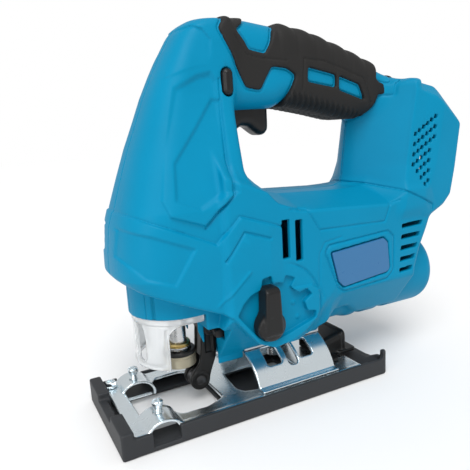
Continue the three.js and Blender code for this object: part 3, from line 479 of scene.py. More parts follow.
def openings(f, left):
    """Everything that is open: blade side, controls, battery seat, vents and screws."""
    x, w, z = f.x, f.w, f.z
    inner_chin = common(chin_tube(f) + 0.75, slab(z, 50, 82), x - 50.9)
    rod_room = block(f, 40, 57, -9, 10, 46, 82)
    bolt_room = block(f, 92, 114, -9, 8.4, 20, 40)
    arm_slot = block(f, 53.5, 68, -9, 9.4, 20, 58)
    link_slot = block(f, 57, 72.5, 13.8, 19.8, 40.5, 49)
    trigger_slot = block(f, 78, 103.4, -9, 8.1, 130, 166)
    button_hole = line(x, z, [(73, 166.7), (73, 174.3)]) - 3.2
    out = either(inner_chin, rod_room, bolt_room, arm_slot, link_slot, trigger_slot, button_hole)
    seat = seat_front(z)
    well = common(seat - x, w - 21, slab(z, 80, 152))
    grooves = common(slab(x - seat, 0, 3.5), w - 26, slab(z, 80, 152))
    contacts = common(186 - x, w - 17.4, slab(z, 111.6, 146.4))
    out = either(out, well, grooves, contacts)
    for row in range(5):
        level = 88 - 6.5 * row
        start = 171.2 - 0.4 * row
        end = 187 - 1.9 * row
        slot = outline(x, z, [(start, level - 1.5), (end, level - 0.9), (end + 0.6, level + 1.7),
                              (start + 0.5, level + 1.2)])
        out = either(out, common(slot, 22 - w))
    for low, high, foot, top in ((90.9, 95.4, 82, 102), (98.8, 103.2, 79.5, 101)):
        out = either(out, common(slab(x, low, high), slab(z, foot, top), 26 - w))
    out = either(out, common(lattice(x, z), 27 - w))
    if left:
        out = either(out, common(disc(x, z, KNOB_CENTRE, 4.3), 10 - w))
    else:
        for centre in SCREWS:
            out = either(out, common(disc(x, z, centre, 3.4), screw_seat(centre) - w))
    return out


LATTICE_OUTLINE = [(200.4, 152), (196.5, 151), (182.6, 139.4), (180.2, 121), (189.2, 104.6), (192, 112.5),
                   (195, 129.8)]
LATTICE_CORNER = (197.7, 148.3)
LATTICE_LEAN = (0.556, 0.831)  # cosine and sine of the rows' slope
ROW_PITCH, HOLE_PITCH, ROW_SHIFT = 4.45, 3.3, 0.35


def lattice(x, z):
    """The slanted field of diamond holes that airs the electronics."""
    (x0, z0), (c, s) = LATTICE_CORNER, LATTICE_LEAN
    u = (x - x0) * c + (z - z0) * -s
    v = (x - x0) * s + (z - z0) * c
    row = np.round(u / ROW_PITCH)
    place_u = ROW_PITCH * row
    place_v = HOLE_PITCH * np.round((v + ROW_SHIFT * row) / HOLE_PITCH) - ROW_SHIFT * row
    field = outline(x0 + c * place_u + s * place_v, z0 - s * place_u + c * place_v, LATTICE_OUTLINE)
    hole = (np.abs(u - place_u) + np.abs(v - place_v)) * 0.75 - 1.2
    return np.where(field < 0, hole, 2)


def screw_seat(centre):
    """How far out a case screw's head sits."""
    x, z = centre
    if z > 160:
        return 9
    return 12 if x < 40 else 26


def make_casing(side):
    """One half of the casing; its field and closed form are handed back for the skin."""
    left = side < 0
    f = Field((4, -1.2, 20), (222, 38.4, 206), 0.55)
    body = body_field(f)
    outer = body - relief(f, left)
    if left:
        dish = soften(outline(f.x, f.z, DISH), 0.5, f.step)
        outer = smax(outer, -common(dish, DISH_FLOOR - f.w), 0.5)
        for x, z in DISH_STUDS:
            stud = np.sqrt((f.x - x) ** 2 + (f.z - z) ** 2 + (f.w - DISH_FLOOR + 0.9) ** 2) - 1.7
            outer = smin(outer, stud, 0.3)
    cavity = common(body + WALL, outer + 2, f.x - seat_front(f.z) + 3)
    for centre in SCREWS:
        cavity = common(cavity, -disc(f.x, f.z, centre, 4))
    values = common(outer, -cavity)
    values = common(values, -openings(f, left))
    values = common(values, GAP - f.w)
    name = "casing_left" if left else "casing_right"
    return cast(name, f, values, side), f, body


def make_grip_skin(side, f, casing_form):
    """The rubber skin: cross ribs below, waves on top, and raised borders."""
    x, z = f.x, f.z
    region = grip_region(f)
    body = smin(nose_body(f), handle_body(f), 6)
    ribs = 0.9 * np.cos(2 * math.pi * (x + 0.35 * z) / 3.3)
    low = ramp(z - 163.5 + 0.28 * (x - 120), 3) * np.clip((x - 108) / 4, 0, 1)
    waves = 0.6 * np.abs(np.sin(math.pi * (x - 104) / 11.5)) * np.clip((x - 102) / 4, 0, 1)
    high = ramp(186 - 0.32 * (x - 105) - z, 6)
    thick = table(x, [96, 106], [0.9, 2]) + 0.5 * ribs * low
    thick = thick + (waves - 0.5) * high * np.clip((x - 100) / 4, 0, 1)
    border = line(x, z, [(117.5, 166), (118.6, 181.6), (131, 180.4), (142.4, 177), (158.3, 171.2),
                         (161.5, 164.8), (164, 158)])
    thick = thick - 0.6 * ridge(border, 0.8)
    lobe = line(x, z, [(79.1, 192.6), (82.9, 187.2), (85.7, 183.4), (91.8, 182), (98, 181.4), (108, 180.6)])
    thick = thick - 0.5 * ridge(lobe, 0.7)
    skin = smax(body - thick, region + 0.35, 1.6)
    skin = common(skin, -(casing_form + 0.5))
    skin = common(skin, GAP - f.w)
    if side > 0:
        for centre in SCREWS:
            skin = common(skin, -disc(x, z, centre, 3.6))
    return cast("grip_skin_left" if side < 0 else "grip_skin_right", f, skin, side, 90000)


# ---------------------------------------------------------------- controls


def make_trigger():
    """The finger-shaped trigger."""
    f = Field((76, -9, 140), (106, 9.4, 168), 0.35)
    side = soften(outline(f.x, f.z, [
        (78.6, 165), (78.6, 142.6), (80.5, 143.6), (83.5, 147.2), (87, 149.2), (91, 148.6), (94.5, 145.8),
        (97.5, 143.8), (100.5, 144), (102.8, 146.4), (103, 150), (103, 165),
    ]), 0.8, f.step)
    return cast("trigger_shoe", f, smax(side, np.abs(f.w) - 7.4, 5), 1)


def make_button():
    """The lock button, which passes through both halves."""
    f = Field((66, -21.5, 160), (80, 17.5, 181), 0.3)
    pill = line(f.x, f.z, [(73, 166.9), (73, 174.1)])
    body = smax(pill - 2.9, slab(f.w, -20.6, 16), 2.4)
    ridge_bar = smax(line(f.x, f.z, [(72.6, 166.6), (72.6, 174.4)]) - 1.0, slab(f.w, -21, -10), 0.8)
    return cast("lock_button_cap", f, smin(body, ridge_bar, 0.6), 1)


def make_knob():
    """The orbit selector: a hub with a pointer lever."""
    cx, cz = KNOB_CENTRE
    f = Field((70, -44, 38), (92, -31, 74), 0.3)
    hub = smax(disc(f.x, f.z, KNOB_CENTRE, 7.9), slab(f.w, -41.4, -33.2), 1.4)
    width = table(f.z, [50, 66, 70.6], [4.9, 4.3, 4.0])
    lever = smax(smax(np.abs(f.x - cx) - width, slab(f.z, 46, 70.7), 1.6), slab(f.w, -42.5, -33.2), 1.6)
    dome = np.sqrt((f.x - cx) ** 2 + (f.z - cz) ** 2 + (f.w + 30) ** 2) - 12.6
    body = smin(smax(hub, dome, 1), lever, 1.4)
    tip = (f.z - 70.2) * 0.8 - (f.w + 42.5) * 0.6 + 1.2
    return cast("orbit_selector", f, smax(body, tip, 0.8), 1)


# ---------------------------------------------------------------- turned pieces


LATHE_EDGE = math.radians(35)  # a sharper corner than this stays sharp


def turned(name, axis, centre, profile, around=56):
    """A lathe of (radius, place along the axis) points; off the axis, the profile closes on itself."""
    ring = profile[0][0] > 0
    count = len(profile)
    points, faces = [], []
    for k in range(around):
        turn = 2 * math.pi * k / around
        for radius, along in profile:
            a, b = radius * math.cos(turn), radius * math.sin(turn)
            spot = {"x": (along, centre[0] + a, centre[1] + b), "y": (centre[0] + b, along, centre[1] + a),
                    "z": (centre[0] + a, centre[1] + b, along)}[axis]
            points.append(spot)
    for k in range(around):
        start, after = k * count, (k + 1) % around * count
        for n in range(count if ring else count - 1):
            m = (n + 1) % count
            faces.append((start + n, after + n, after + m, start + m))
    mesh = raw_mesh(name, points, faces)
    shape = bmesh.new()
    shape.from_mesh(mesh)
    bmesh.ops.remove_doubles(shape, verts=shape.verts, dist=1e-6)
    bmesh.ops.dissolve_degenerate(shape, edges=shape.edges, dist=1e-6)
    bmesh.ops.recalc_face_normals(shape, faces=shape.faces)
    shape.to_mesh(mesh)
    shape.free()
    smooth(mesh)
    mesh.set_sharp_from_angle(angle=LATHE_EDGE)
    return add(name, mesh)


def merge(name, *objs):
    """One object from several."""
    mesh = bpy.data.meshes.new(name)
    shape = bmesh.new()
    for obj in objs:
        shape.from_mesh(obj.data)
        bpy.data.objects.remove(obj)
    shape.to_mesh(mesh)
    shape.free()
    return add(name, mesh)


def screw_head(name, centre, seat):
    """A pan head with a cross recess, seen from the right-hand side, with its shank."""
    x, z = centre
    f = Field((x - 3.3, seat - 0.5, z - 3.3), (x + 3.3, seat + 3, z + 3.3), 0.16)
    r = np.hypot(f.x - x, f.z - z)
    dome = np.sqrt(r ** 2 + (f.w - seat + 3.2) ** 2) - 5.6
    head = smax(smax(r - 2.8, slab(f.w, seat, seat + 2.4), 0.4), dome, 0.3)
    deep = seat + 0.9 - f.w
    arms = either(rounded(f.x, f.z, x - 1.7, x + 1.7, z - 0.36, z + 0.36, 0.2),
                  rounded(f.x, f.z, x - 0.36, x + 0.36, z - 1.7, z + 1.7, 0.2))
    top = cast(name + "_top", f, smax(head, -common(arms, deep), 0.15), 1)
    thread = [(0, -9), (1.1, -9)]
    for k in range(12):
        thread += [(1.5, -8.4 + 1.2 * k), (1.15, -7.8 + 1.2 * k)]
    thread += [(1.4, seat - 1.2), (1.4, seat + 0.2), (0, seat + 0.2)]
    shank = turned(name + "_shank", "y", centre, thread, 20)
    return merge(name, top, shank)


def make_fence_screw(name, side):
    """A round slotted head on a plain shank."""
    x, y = FENCE_SCREW[0], FENCE_SCREW[1] * side
    f = Field((x - 3.4, y - 3.4, 8.8), (x + 3.4, y + 3.4, 20.4), 0.16)
    r = np.hypot(f.x - x, f.w - y)
    dome = np.sqrt(r ** 2 + (f.z - 15.3) ** 2) - 4.4
    head = smax(smax(r - 2.95, slab(f.z, 16.4, 19.75), 0.5), dome, 0.5)
    collar = smax(r - 2.35, slab(f.z, 15.2, 17), 0.3)
    shank = common(r - 1.9 + 0.12 * np.cos(2 * math.pi * f.z / 0.8) * (f.z < 14.6), slab(f.z, 9.3, 17))
    body = smin(smin(head, collar, 0.3), shank, 0.3)
    slots = common(either(slab(f.w - y, -0.42, 0.42), slab(f.x - x, -0.42, 0.42)), 18.5 - f.z)
    return cast(name, f, smax(body, -slots, 0.15), 1)


# ---------------------------------------------------------------- clear guard


GUARD_RADIUS = 21.85
GUARD_FOOT = 31.3  # the tilted base sweeps the room below this height
GUARD_TURN = 22.2  # radius on which lengths round the front are measured


def make_guard():
    """The see-through chip guard: a rim under the chin, a front post, two side panels and a foot band."""
    f = Field((18, -24.3, 28.6), (54, 24.3, 67), 0.42)
    r = np.hypot(np.minimum(f.x - CHIN_X, 0), f.w)
    angle = np.arctan2(np.abs(f.w), np.maximum(CHIN_X - f.x, 0))
    run = np.where(f.x < CHIN_X, GUARD_TURN * angle, 34.9 + f.x - CHIN_X).astype(np.float32)
    s, z = np.broadcast_arrays(run, f.z)
    body = common(np.abs(r - GUARD_RADIUS) - 0.75, slab(f.z, GUARD_FOOT, 66), f.x - 49.6)
    window = outline(s, z, [(2.6, 54.8), (7.6, 54.4), (9.2, 51), (9.8, 46), (9.4, 36), (7.4, 34.2),
                            (3.8, 35.6)])
    side = outline(s, z, [(23, 26), (23.2, 47), (24.2, 50.4), (26.6, 52.8), (31, 54.4), (63, 55.2), (63, 26)])
    body = smax(smax(body, -window, 0.6), -side, 0.6)
    rim = smax(smax(np.abs(r - 21.6) - 1.15, slab(f.z, 54.8, 57.8), 0.7), f.x - 50.2, 0.7)
    foot = smax(smax(np.abs(r - 21.6) - 1.15, slab(f.z, GUARD_FOOT, 33.3), 0.6), run - 22.8, 0.6)
    edge = smax(smax(np.abs(r - 21.5) - 1.2, np.abs(run - 22.5) - 0.7, 0.5), slab(f.z, GUARD_FOOT, 52), 0.5)
    ends = smax(smax(np.abs(r - 21.5) - 1.2, slab(f.x, 48.6, 50.2), 0.5), slab(f.z, 55, 59), 0.5)
    body = smin(smin(body, rim, 0.8), smin(smin(foot, edge, 0.6), ends, 0.6), 0.8)
    return cast("chip_guard", f, body, 1, 120000)


# ---------------------------------------------------------------- base


PLATE_OPENING = [(15.4, -17.6), (31.5, -17.6), (35, -22.4), (49, -23), (59.4, -18.4), (59.4, 18.4), (49, 23),
                 (35, 22.4), (31.5, 17.6), (15.4, 17.6)]
PLATE_HOLE = [(69.6, -15), (72, -19.6), (81, -22.4), (97, -16), (112, -16), (112, 16), (97, 16),
              (92, 5), (71.4, 5)]
SHOE_OPENING = [(12.5, -19), (57, -19), (61, -15), (61, 15), (57, 19), (12.5, 19)]
CHANNEL = (15.5, 29.5)  # the rip fence passes between these
FENCE_SCREW = (22.5, 21)  # x, and distance from the blade's plane
TUNNEL_AXIS = (22.7, 4.6)
SHOE_LENGTH, SHOE_HALF = 162, 34
SHOE_WALL, SHOE_FLOOR = 9.5, 2.4
BRACKET_RADIUS = 27.3
BOLT_X = 103  # the clamping bolt's slot runs round the bracket here


def make_shoe():
    """The dark moulded shoe: floor, walls, raised front flange, and a rear wall that dips between tabs."""
    f = Field((-1, -35, -1), (163, 35, 14.6), 0.6)
    x, w, z = f.x, f.w, f.z
    wide = np.abs(w)
    rear = rounded(x, w, 0, SHOE_LENGTH, -SHOE_HALF, SHOE_HALF, 4)
    plan = np.where(x < 20, rounded(x, w, 0, SHOE_LENGTH, -SHOE_HALF, SHOE_HALF, 1.2), rear)
    body = smax(plan, slab(z, 0, SHOE_WALL), 0.9)
    flange = smax(rounded(x, w, 0, 6.5, -SHOE_HALF, SHOE_HALF, 1.2), slab(z, 0, 13.2), 1.1)
    body = smin(body, flange, 0.8)
    tray = common(rounded(x, w, 6.5, 159.4, -31.6, 31.6, 2.5), SHOE_FLOOR - z)
    body = smax(body, -tray, 0.5)
    swell = z - SHOE_FLOOR - 5.2 * np.clip((x - 147) / 13, 0, 1) ** 2
    body = smin(body, common(swell, plan, 146 - x, 0.6 - z), 0.8)
    dip = 4.9 + 4.6 * table(wide[0, :, 0], [14, 19, 25, 30], [0, 0.1, 0.8, 1])[None, :, None]
    body = smax(body, -common(148 - x, dip - z), 1.2)
    tab = smax(common(slab(x, 158.6, SHOE_LENGTH), plan),
               common(slab(wide, 29.8, SHOE_HALF), slab(z, 0, 13.8)), 1)
    body = smin(body, tab, 2.4)
    notch = smax(common(x - 8, slab(w, -13, 12)), 9.4 - z, 1.6)
    body = smax(body, -notch, 0.8)
    gap = common(slab(x, 4.4, 8), slab(w, -12, 11), 5.2 - z)
    body = smax(body, -gap, 0.6)
    channel = common(slab(x, *CHANNEL), SHOE_FLOOR - z)
    body = smax(body, -channel, 0.5)
    holes = either(outline(x, w, SHOE_OPENING), rounded(x, w, 94, 112, -16, 16, 2))
    holes = either(holes, rounded(x, w, 131, 148, -15, 15, 2))
    body = smax(body, -common(holes, z - 6), 0.5)
    return cast("sole_shoe", f, common(body, plan, -z), 1)


def make_plate():
    """The pressed steel plate, with an arched tunnel for the rip fence on each side."""
    f = Field((5.6, -32.4, 1.6), (146, 32.4, 13.6), 0.5)
    x, w, z = f.x, f.w, f.z
    wide = np.abs(w)
    plan = rounded(x, w, 6.8, 144.4, -31.2, 31.2, 2)
    web = smax(plan, slab(z, 6.5, 8.5), 1.2)
    fold = smax(common(plan, np.abs(wide - 30.2) - 1), slab(z, 2.8, 8.5), 1.2)
    body = smin(web, fold, 0.8)
    body = smax(body, -common(slab(x, *CHANNEL), 13.6 - wide), 0.4)
    dx, dz = x - TUNNEL_AXIS[0], z - TUNNEL_AXIS[1]
    top = (np.hypot(dx / 9.9, dz / 7.9) - 1) * 7.6
    inner = (np.hypot(dx / 8.4, dz / 6.4) - 1) * 6.4
    flare = 0.5 * ridge(np.abs(wide - 14.5), 3)
    arch = smax(smax(top - flare, -(inner - flare), 0.3), slab(wide, 14.5, 30.6), 0.5)
    arch = smax(arch, 6.5 - z - 5 * (wide < 16.2), 0.4)
    lip = smax(common(slab(x, 15, 30.6), slab(wide, 14.5, 16)), slab(z, 2.8, 4.4), 0.4)
    arch = smin(common(arch, 2.6 - z), lip, 0.8)
    body = common(body, -common(inner, slab(wide, 14, 40)))
    opening = soften(outline(x, w, PLATE_OPENING), 1.2, f.step, (0, 1))
    hole = soften(outline(x, w, PLATE_HOLE), 0.8, f.step, (0, 1))
    window = rounded(x, w, 131, 150, -15, 15, 1.5)
    cuts = either(opening, hole, window)
    body = smin(smax(body, -cuts, 0.5), arch, 1.2)
    body = smax(body, -common(disc(x, wide, FENCE_SCREW, 2.4), 8 - z), 0.3)
    return cast("sole_plate", f, body, 1)


def make_bracket():
    """The half-round tilt bracket: two windows each side, the bolt's slot, and spot-welded ledges."""
    f = Field((77, -32, 7.8), (129, 32, 29.6), 0.46)
    x, w, z = f.x, f.w, f.z
    wide = np.abs(w)
    r = np.hypot(w, z)
    shell = common(np.abs(r - BRACKET_RADIUS) - 1.1, 8.85 - z)
    ledge = smax(slab(wide, 25.6, 30.7), slab(z, 8.85, 10.5), 0.6)
    body = smax(smin(shell, ledge, 0.9), slab(x, 78, 128), 0.7)
    arc = 28.4 * np.arctan2(wide, z)
    for low, high in ((87, 96.4), (107.6, 116.8)):
        window = rounded(x, arc, low, high, 11.6, 23.8, 1.8)
        body = smax(body, -window, 0.5)
    slot = rounded(x, arc, BOLT_X - 3.1, BOLT_X + 3.1, -27, 26.6, 2.6)
    body = smax(body, -slot, 0.4)
    for weld in (86, BOLT_X, 121):
        spot = np.sqrt((x - weld) ** 2 + (wide - 29) ** 2 + (z - 9.4) ** 2 * 1.4) - 1.5
        body = smin(body, spot, 0.5)
        pit = np.sqrt((x - weld) ** 2 + (wide - 29) ** 2 + (z - 11.6) ** 2) - 1.0
        body = smax(body, -pit, 0.3)
    return cast("bevel_bracket", f, body, 1)


def make_dust_port():
    """The black dust duct behind the bracket, on its foot."""
    f = Field((128, -21.4, 8), (156, 14, 26), 0.4)
    x, w, z = f.x, f.w, f.z
    top = 18.8 + 0.22 * (x - 130)
    outer = smax(smax(slab(w, -12, 12), z - top, 4), common(8.9 - z, slab(x, 129, 147)), 0.8)
    inner = smax(smax(slab(w, -10, 10), z - top + 2, 3), 10.8 - z, 0.8)
    body = smax(outer, -inner, 0.4)
    lip = smax(smax(smax(slab(w, -12.6, 12.6), z - top - 0.6, 4), common(8.9 - z, slab(x, 144.4, 147)), 0.5),
               -inner, 0.4)
    foot = smax(rounded(x, w, 140, 154.6, -14, 12, 3), slab(z, 8.9, 10.8), 0.7)
    lug = smax(rounded(x, w, 129.2, 137, -20, -8, 2), slab(z, 8.9, 11), 0.7)
    body = smin(smin(body, lip, 0.6), smin(common(foot, -inner), lug, 0.8), 1.2)
    return cast("dust_port", f, body, 1)


def make_stop_bolt():
    """The socket bolt for the edge guide, with a serrated washer face."""
    x, y = 10.2, 26
    f = Field((x - 4.2, y - 4.2, 8.2), (x + 4.2, y + 4.2, 12.8), 0.18)
    dx, dy = f.x - x, f.w - y
    r = np.hypot(dx, dy)
    turn = np.arctan2(dy, dx)
    hexagon = r * np.cos((turn + math.pi / 6) % (math.pi / 3) - math.pi / 6)
    head = smax(smax(hexagon - 2.7, slab(f.z, 8.8, 12.1), 0.4), np.sqrt(r ** 2 + (f.z - 7) ** 2) - 5.7, 0.3)
    washer = smax(r - 3.5 - 0.12 * np.cos(turn * 18), slab(f.z, 8.8, 9.7), 0.3)
    socket = common(hexagon - 1.5, 10.6 - f.z)
    return cast("guide_bolt", f, smax(smin(head, washer, 0.2), -socket, 0.2), 1)


# ---------------------------------------------------------------- roller arm, rod and clamp


ARM_PIVOT = (60, 44)
ROLLER = (52.8, 14)


def make_arm():
    """The fork of the guide roller, with its pivot tube and the tail that the selector's cam lifts."""
    f = Field((44.6, -20.4, 6.6), (73, 9.6, 50.4), 0.36)
    x, w, z = f.x, f.w, f.z
    side = soften(outline(x, z, [
        (55.4, 44.5), (64.2, 44.5), (63.2, 26), (60, 18.4), (57.6, 11), (55.4, 9.2), (52.4, 8.4), (48.9, 9.7),
        (47, 13), (47.6, 17), (50.4, 20.2), (53.4, 24), (54.4, 31),
    ]), 1.0, f.step)
    cheeks = smax(side, np.abs(np.abs(w) - 4.2) - 1.0, 0.6)
    bridge = smax(smax(side + 0.8, np.abs(w) - 4, 0.6), 26.5 - z, 0.6)
    groove = common(slab(x, 57.2, 61.2), slab(z, 29, 40), 4.4 - np.abs(w))
    boss = disc(x, z, ROLLER, 5.5)
    rim = smax(smax(boss, -disc(x, z, ROLLER, 3.6), 0.5), np.abs(np.abs(w) - 4.7) - 1.0, 0.5)
    rim = smin(rim, smax(boss, np.abs(np.abs(w) - 4.2) - 1.0, 0.5), 0.3)
    head = smax(disc(x, z, ARM_PIVOT, 4.6), np.abs(w) - 8.4, 0.8)
    link = common(disc(x, z, ARM_PIVOT, 1.8), slab(w, -19, -8))
    tail_side = outline(x, z, [(57.5, 42), (62, 41.6), (71, 44), (71, 48), (60, 46.8), (57.5, 46)])
    tail_side = soften(tail_side, 0.7, f.step)
    tail = smax(tail_side, slab(w, -19, -15), 0.6)
    body = smin(smin(smin(cheeks, bridge, 0.6), head, 0.8), smin(link, tail, 0.8), 0.4)
    body = smax(smin(body, rim, 0.6), -groove, 0.5)
    body = smax(body, -disc(x, z, ROLLER, 2.15), 0.2)
    return cast("roller_fork", f, body, 1)


def make_label():
    """The blank label, let into the left half."""
    f = Field((118.6, 32.6, 57.6), (164.2, 36, 86), 0.3)
    edge = soften(outline(f.x, f.z, LABEL), 0.6, f.step)
    return cast("label_insert", f, smax(edge + 0.2, slab(f.w, 33.5, 35.05), 0.5), -1, 60000)


# ---------------------------------------------------------------- materials


CLOUD_SCALE = 28  # of the slow change of colour
GRAIN_DEPTH = 0.0002
GLOSS_SPREAD = 0.06
WORN_FROM, WORN_TO = 0.52, 0.62  # pointiness at which an edge starts to look worn, and is


def node_material(name, colour, rough, metal=0.0, bump=0.15, scale=900.0, vary=0.08, edge=0.15,
                  specular=0.5, clear=0.0):
    """Base colour with a little unevenness, worn edges and a fine surface texture."""
    material = bpy.data.materials.new(name)
    material.use_nodes = True
    nodes, links = material.node_tree.nodes, material.node_tree.links
    shader = nodes["Principled BSDF"]
    shader.inputs["Metallic"].default_value = metal
    shader.inputs["Specular IOR Level"].default_value = specular
    shader.inputs["Transmission Weight"].default_value = clear
    where = nodes.new("ShaderNodeTexCoord")
    cloud = nodes.new("ShaderNodeTexNoise")
    cloud.inputs["Scale"].default_value = CLOUD_SCALE
    cloud.inputs["Detail"].default_value = 4
    links.new(where.outputs["Object"], cloud.inputs["Vector"])
    tint = nodes.new("ShaderNodeMix")
    tint.data_type = "RGBA"
    tint.inputs["A"].default_value = (*[c * (1 - vary) for c in colour], 1)
    tint.inputs["B"].default_value = (*[min(1, c * (1 + vary)) for c in colour], 1)
    links.new(cloud.outputs["Fac"], tint.inputs["Factor"])
    geometry = nodes.new("ShaderNodeNewGeometry")
    sharp = nodes.new("ShaderNodeMapRange")
    sharp.inputs["From Min"].default_value = WORN_FROM
    sharp.inputs["From Max"].default_value = WORN_TO
    sharp.inputs["To Max"].default_value = edge
    links.new(geometry.outputs["Pointiness"], sharp.inputs["Value"])
    worn = nodes.new("ShaderNodeMix")
    worn.data_type = "RGBA"
    worn.inputs["B"].default_value = (*[min(1, c * 1.5 + 0.05) for c in colour], 1)
    links.new(sharp.outputs["Result"], worn.inputs["Factor"])
    links.new(tint.outputs["Result"], worn.inputs["A"])
    links.new(worn.outputs["Result"], shader.inputs["Base Color"])
    grain = nodes.new("ShaderNodeTexNoise")
    grain.inputs["Scale"].default_value = scale
    grain.inputs["Detail"].default_value = 3
    links.new(where.outputs["Object"], grain.inputs["Vector"])
    relief_node = nodes.new("ShaderNodeBump")
    relief_node.inputs["Strength"].default_value = bump
    relief_node.inputs["Distance"].default_value = GRAIN_DEPTH
    links.new(grain.outputs["Fac"], relief_node.inputs["Height"])
    links.new(relief_node.outputs["Normal"], shader.inputs["Normal"])
    polish = nodes.new("ShaderNodeMapRange")
    polish.inputs["To Min"].default_value = max(0.02, rough - GLOSS_SPREAD)
    polish.inputs["To Max"].default_value = min(1, rough + GLOSS_SPREAD)
    links.new(grain.outputs["Fac"], polish.inputs["Value"])
    links.new(polish.outputs["Result"], shader.inputs["Roughness"])
    return material


BLUE = node_material("blue_moulding", (0.0, 0.215, 0.385), 0.45, bump=0.12, specular=0.1, edge=0.08)
RUBBER = node_material("soft_rubber", (0.017, 0.0165, 0.016), 0.62, bump=0.35, scale=1500, specular=0.2)
BLACK = node_material("black_moulding", (0.008, 0.008, 0.008), 0.38, bump=0.15, specular=0.3)
SHOE = node_material("grey_moulding", (0.028, 0.030, 0.033), 0.55, bump=0.3, scale=1200, specular=0.25)
ZINC = node_material("bright_zinc", (0.80, 0.88, 0.92), 0.26, 1.0, bump=0.04, scale=90, vary=0.06)
STEEL = node_material("ground_steel", (0.56, 0.56, 0.56), 0.28, 1.0, bump=0.1, scale=600, vary=0.1)
DARK_STEEL = node_material("black_steel", (0.06, 0.06, 0.062), 0.38, 0.8, bump=0.12, scale=500, vary=0.15)
BRASS = node_material("turned_brass", (0.55, 0.42, 0.17), 0.3, 1.0, bump=0.1, scale=500)
KHAKI = node_material("sintered_collar", (0.38, 0.34, 0.25), 0.38, 0.75, bump=0.2, scale=900, vary=0.12)
ALLOY = node_material("cast_alloy", (0.55, 0.56, 0.57), 0.5, 0.9, bump=0.5, scale=500, vary=0.12)
COPPER = node_material("copper_wire", (0.45, 0.18, 0.08), 0.35, 0.9, bump=0.5, scale=700)
BOARD = node_material("circuit_board", (0.03, 0.15, 0.055), 0.35, bump=0.3, scale=350, vary=0.25)
LABEL_BLUE = node_material("label_film", (0.02, 0.135, 0.31), 0.3, bump=0.04, scale=300, vary=0.05, edge=0.05)
CLEAR = node_material("clear_moulding", (0.93, 0.95, 0.96), 0.16, bump=0.06, scale=120, vary=0.03, edge=0.3,
                      clear=0.66)

FINISHES = {"blue_plastic": BLUE, "grip_rubber": RUBBER, "black_plastic": BLACK, "shoe_plastic": SHOE,
            "zinc_steel": ZINC, "ground_steel": STEEL, "brass_metal": BRASS, "khaki_metal": KHAKI,
            "cast_aluminium": ALLOY, "clear_plastic": CLEAR, "label_film": LABEL_BLUE,
            "copper_winding": COPPER, "circuit_green": BOARD}


def wear(obj, material):
    """Gives an object one material."""
    obj.data.materials.clear()
    obj.data.materials.append(material)


def place(obj, body, nodes, finish, material=None):
    """Finishes a piece, ties it to its body and hides the CAD nodes that it stands for."""
    wear(obj, material or FINISHES[finish])
    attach(obj, body)
    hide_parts(*nodes)


# ---------------------------------------------------------------- assembly

for side, half_name, skin_name in ((-1, "left_housing", "left_grip"), (1, "right_housing", "right_grip")):
    casing, space, form = make_casing(side)
    place(casing, "housing", [half_name], "blue_plastic")
    place(make_grip_skin(side, space, form), "housing", [skin_name], "grip_rubber")
place(make_label(), "housing", ["label_plate"], "label_film")
for number, spot in enumerate(SCREWS, 1):
    head = screw_head(f"case_screw_{number}", spot, screw_seat(spot) + 0.3)
    place(head, "housing", [f"housing_screw_{number}"], "ground_steel")

place(make_trigger(), "trigger", ["trigger"], "grip_rubber", BLACK)
place(make_button(), "lock_button", ["lock_button"], "grip_rubber", BLACK)
place(make_knob(), "selector", ["selector_knob"], "black_plastic")

place(make_shoe(), "base", ["base_shoe"], "shoe_plastic")
place(make_plate(), "base", ["base_plate"], "zinc_steel")
place(make_bracket(), "base", ["tilt_bracket"], "zinc_steel")
place(make_dust_port(), "base", ["dust_nozzle"], "black_plastic")
place(make_stop_bolt(), "base", ["edge_guide_bolt"], "zinc_steel")
place(make_fence_screw("fence_clamp_left", -1), "fence_screw_left", ["fence_screw_left"], "zinc_steel")
place(make_fence_screw("fence_clamp_right", 1), "fence_screw_right", ["fence_screw_right"], "zinc_steel")
place(make_guard(), "clear_guard", ["clear_guard"], "clear_plastic")
place(make_arm(), "roller_arm", ["roller_arm"], "black_plastic")

roller = turned("grooved_roller", "y", ROLLER, [
    (2.3, -2.9), (4.6, -2.9), (5, -2.5), (5, -1.1), (4.7, -0.7), (4.25, -0.25), (4.25, 0.25), (4.7, 0.7),
    (5, 1.1), (5, 2.5), (4.6, 2.9), (2.3, 2.9)])
place(roller, "guide_roller", ["guide_roller"], "ground_steel", DARK_STEEL)
pin = turned("roller_axle", "y", ROLLER, [
    (0, -6.1), (1.6, -6.1), (2.6, -5.8), (2.8, -5.4), (2, -5.2), (2, 5.2), (2.8, 5.4), (2.6, 5.8), (1.6, 6.1),
    (0, 6.1)])
place(pin, "roller_arm", ["roller_pin"], "ground_steel", DARK_STEEL)

ROD = (43.5, 0)  # the plunger's axis
rod = turned("blade_rod", "z", ROD, [
    (1.6, 30.4), (3.9, 30), (4.5, 30.6), (4.5, 58.2), (4.2, 58.6), (4.5, 59), (4.5, 121.4), (3.9, 122),
    (1.6, 122)])
place(rod, "plunger", ["plunger_rod"], "ground_steel")
collar = turned("clamp_collar", "z", ROD, [
    (4.8, 31.5), (6, 31.5), (6.25, 31.8), (6.25, 34), (5.9, 34.3), (5.9, 34.6), (6.2, 34.9), (6.2, 35.4),
    (4.8, 35.4)])
place(collar, "plunger", ["clamp_body"], "ground_steel")
ring = turned("clamp_spring_ring", "z", ROD, [
    (4.7, 35.5), (6.4, 35.5), (6.6, 35.8), (6.6, 36.3), (6.1, 36.6), (6.1, 36.8), (6.5, 37.1), (6.3, 37.6),
    (4.7, 37.8)])
place(ring, "plunger", ["clamp_body"], "brass_metal")
sleeve = turned("clamp_ring", "z", ROD, [
    (5.4, 24.8), (8.5, 24.8), (9, 25.3), (9, 29.9), (8.8, 30.1), (8.8, 30.4), (9, 30.6), (9, 31.4),
    (6.6, 31.4), (6.6, 31), (5.4, 31)])
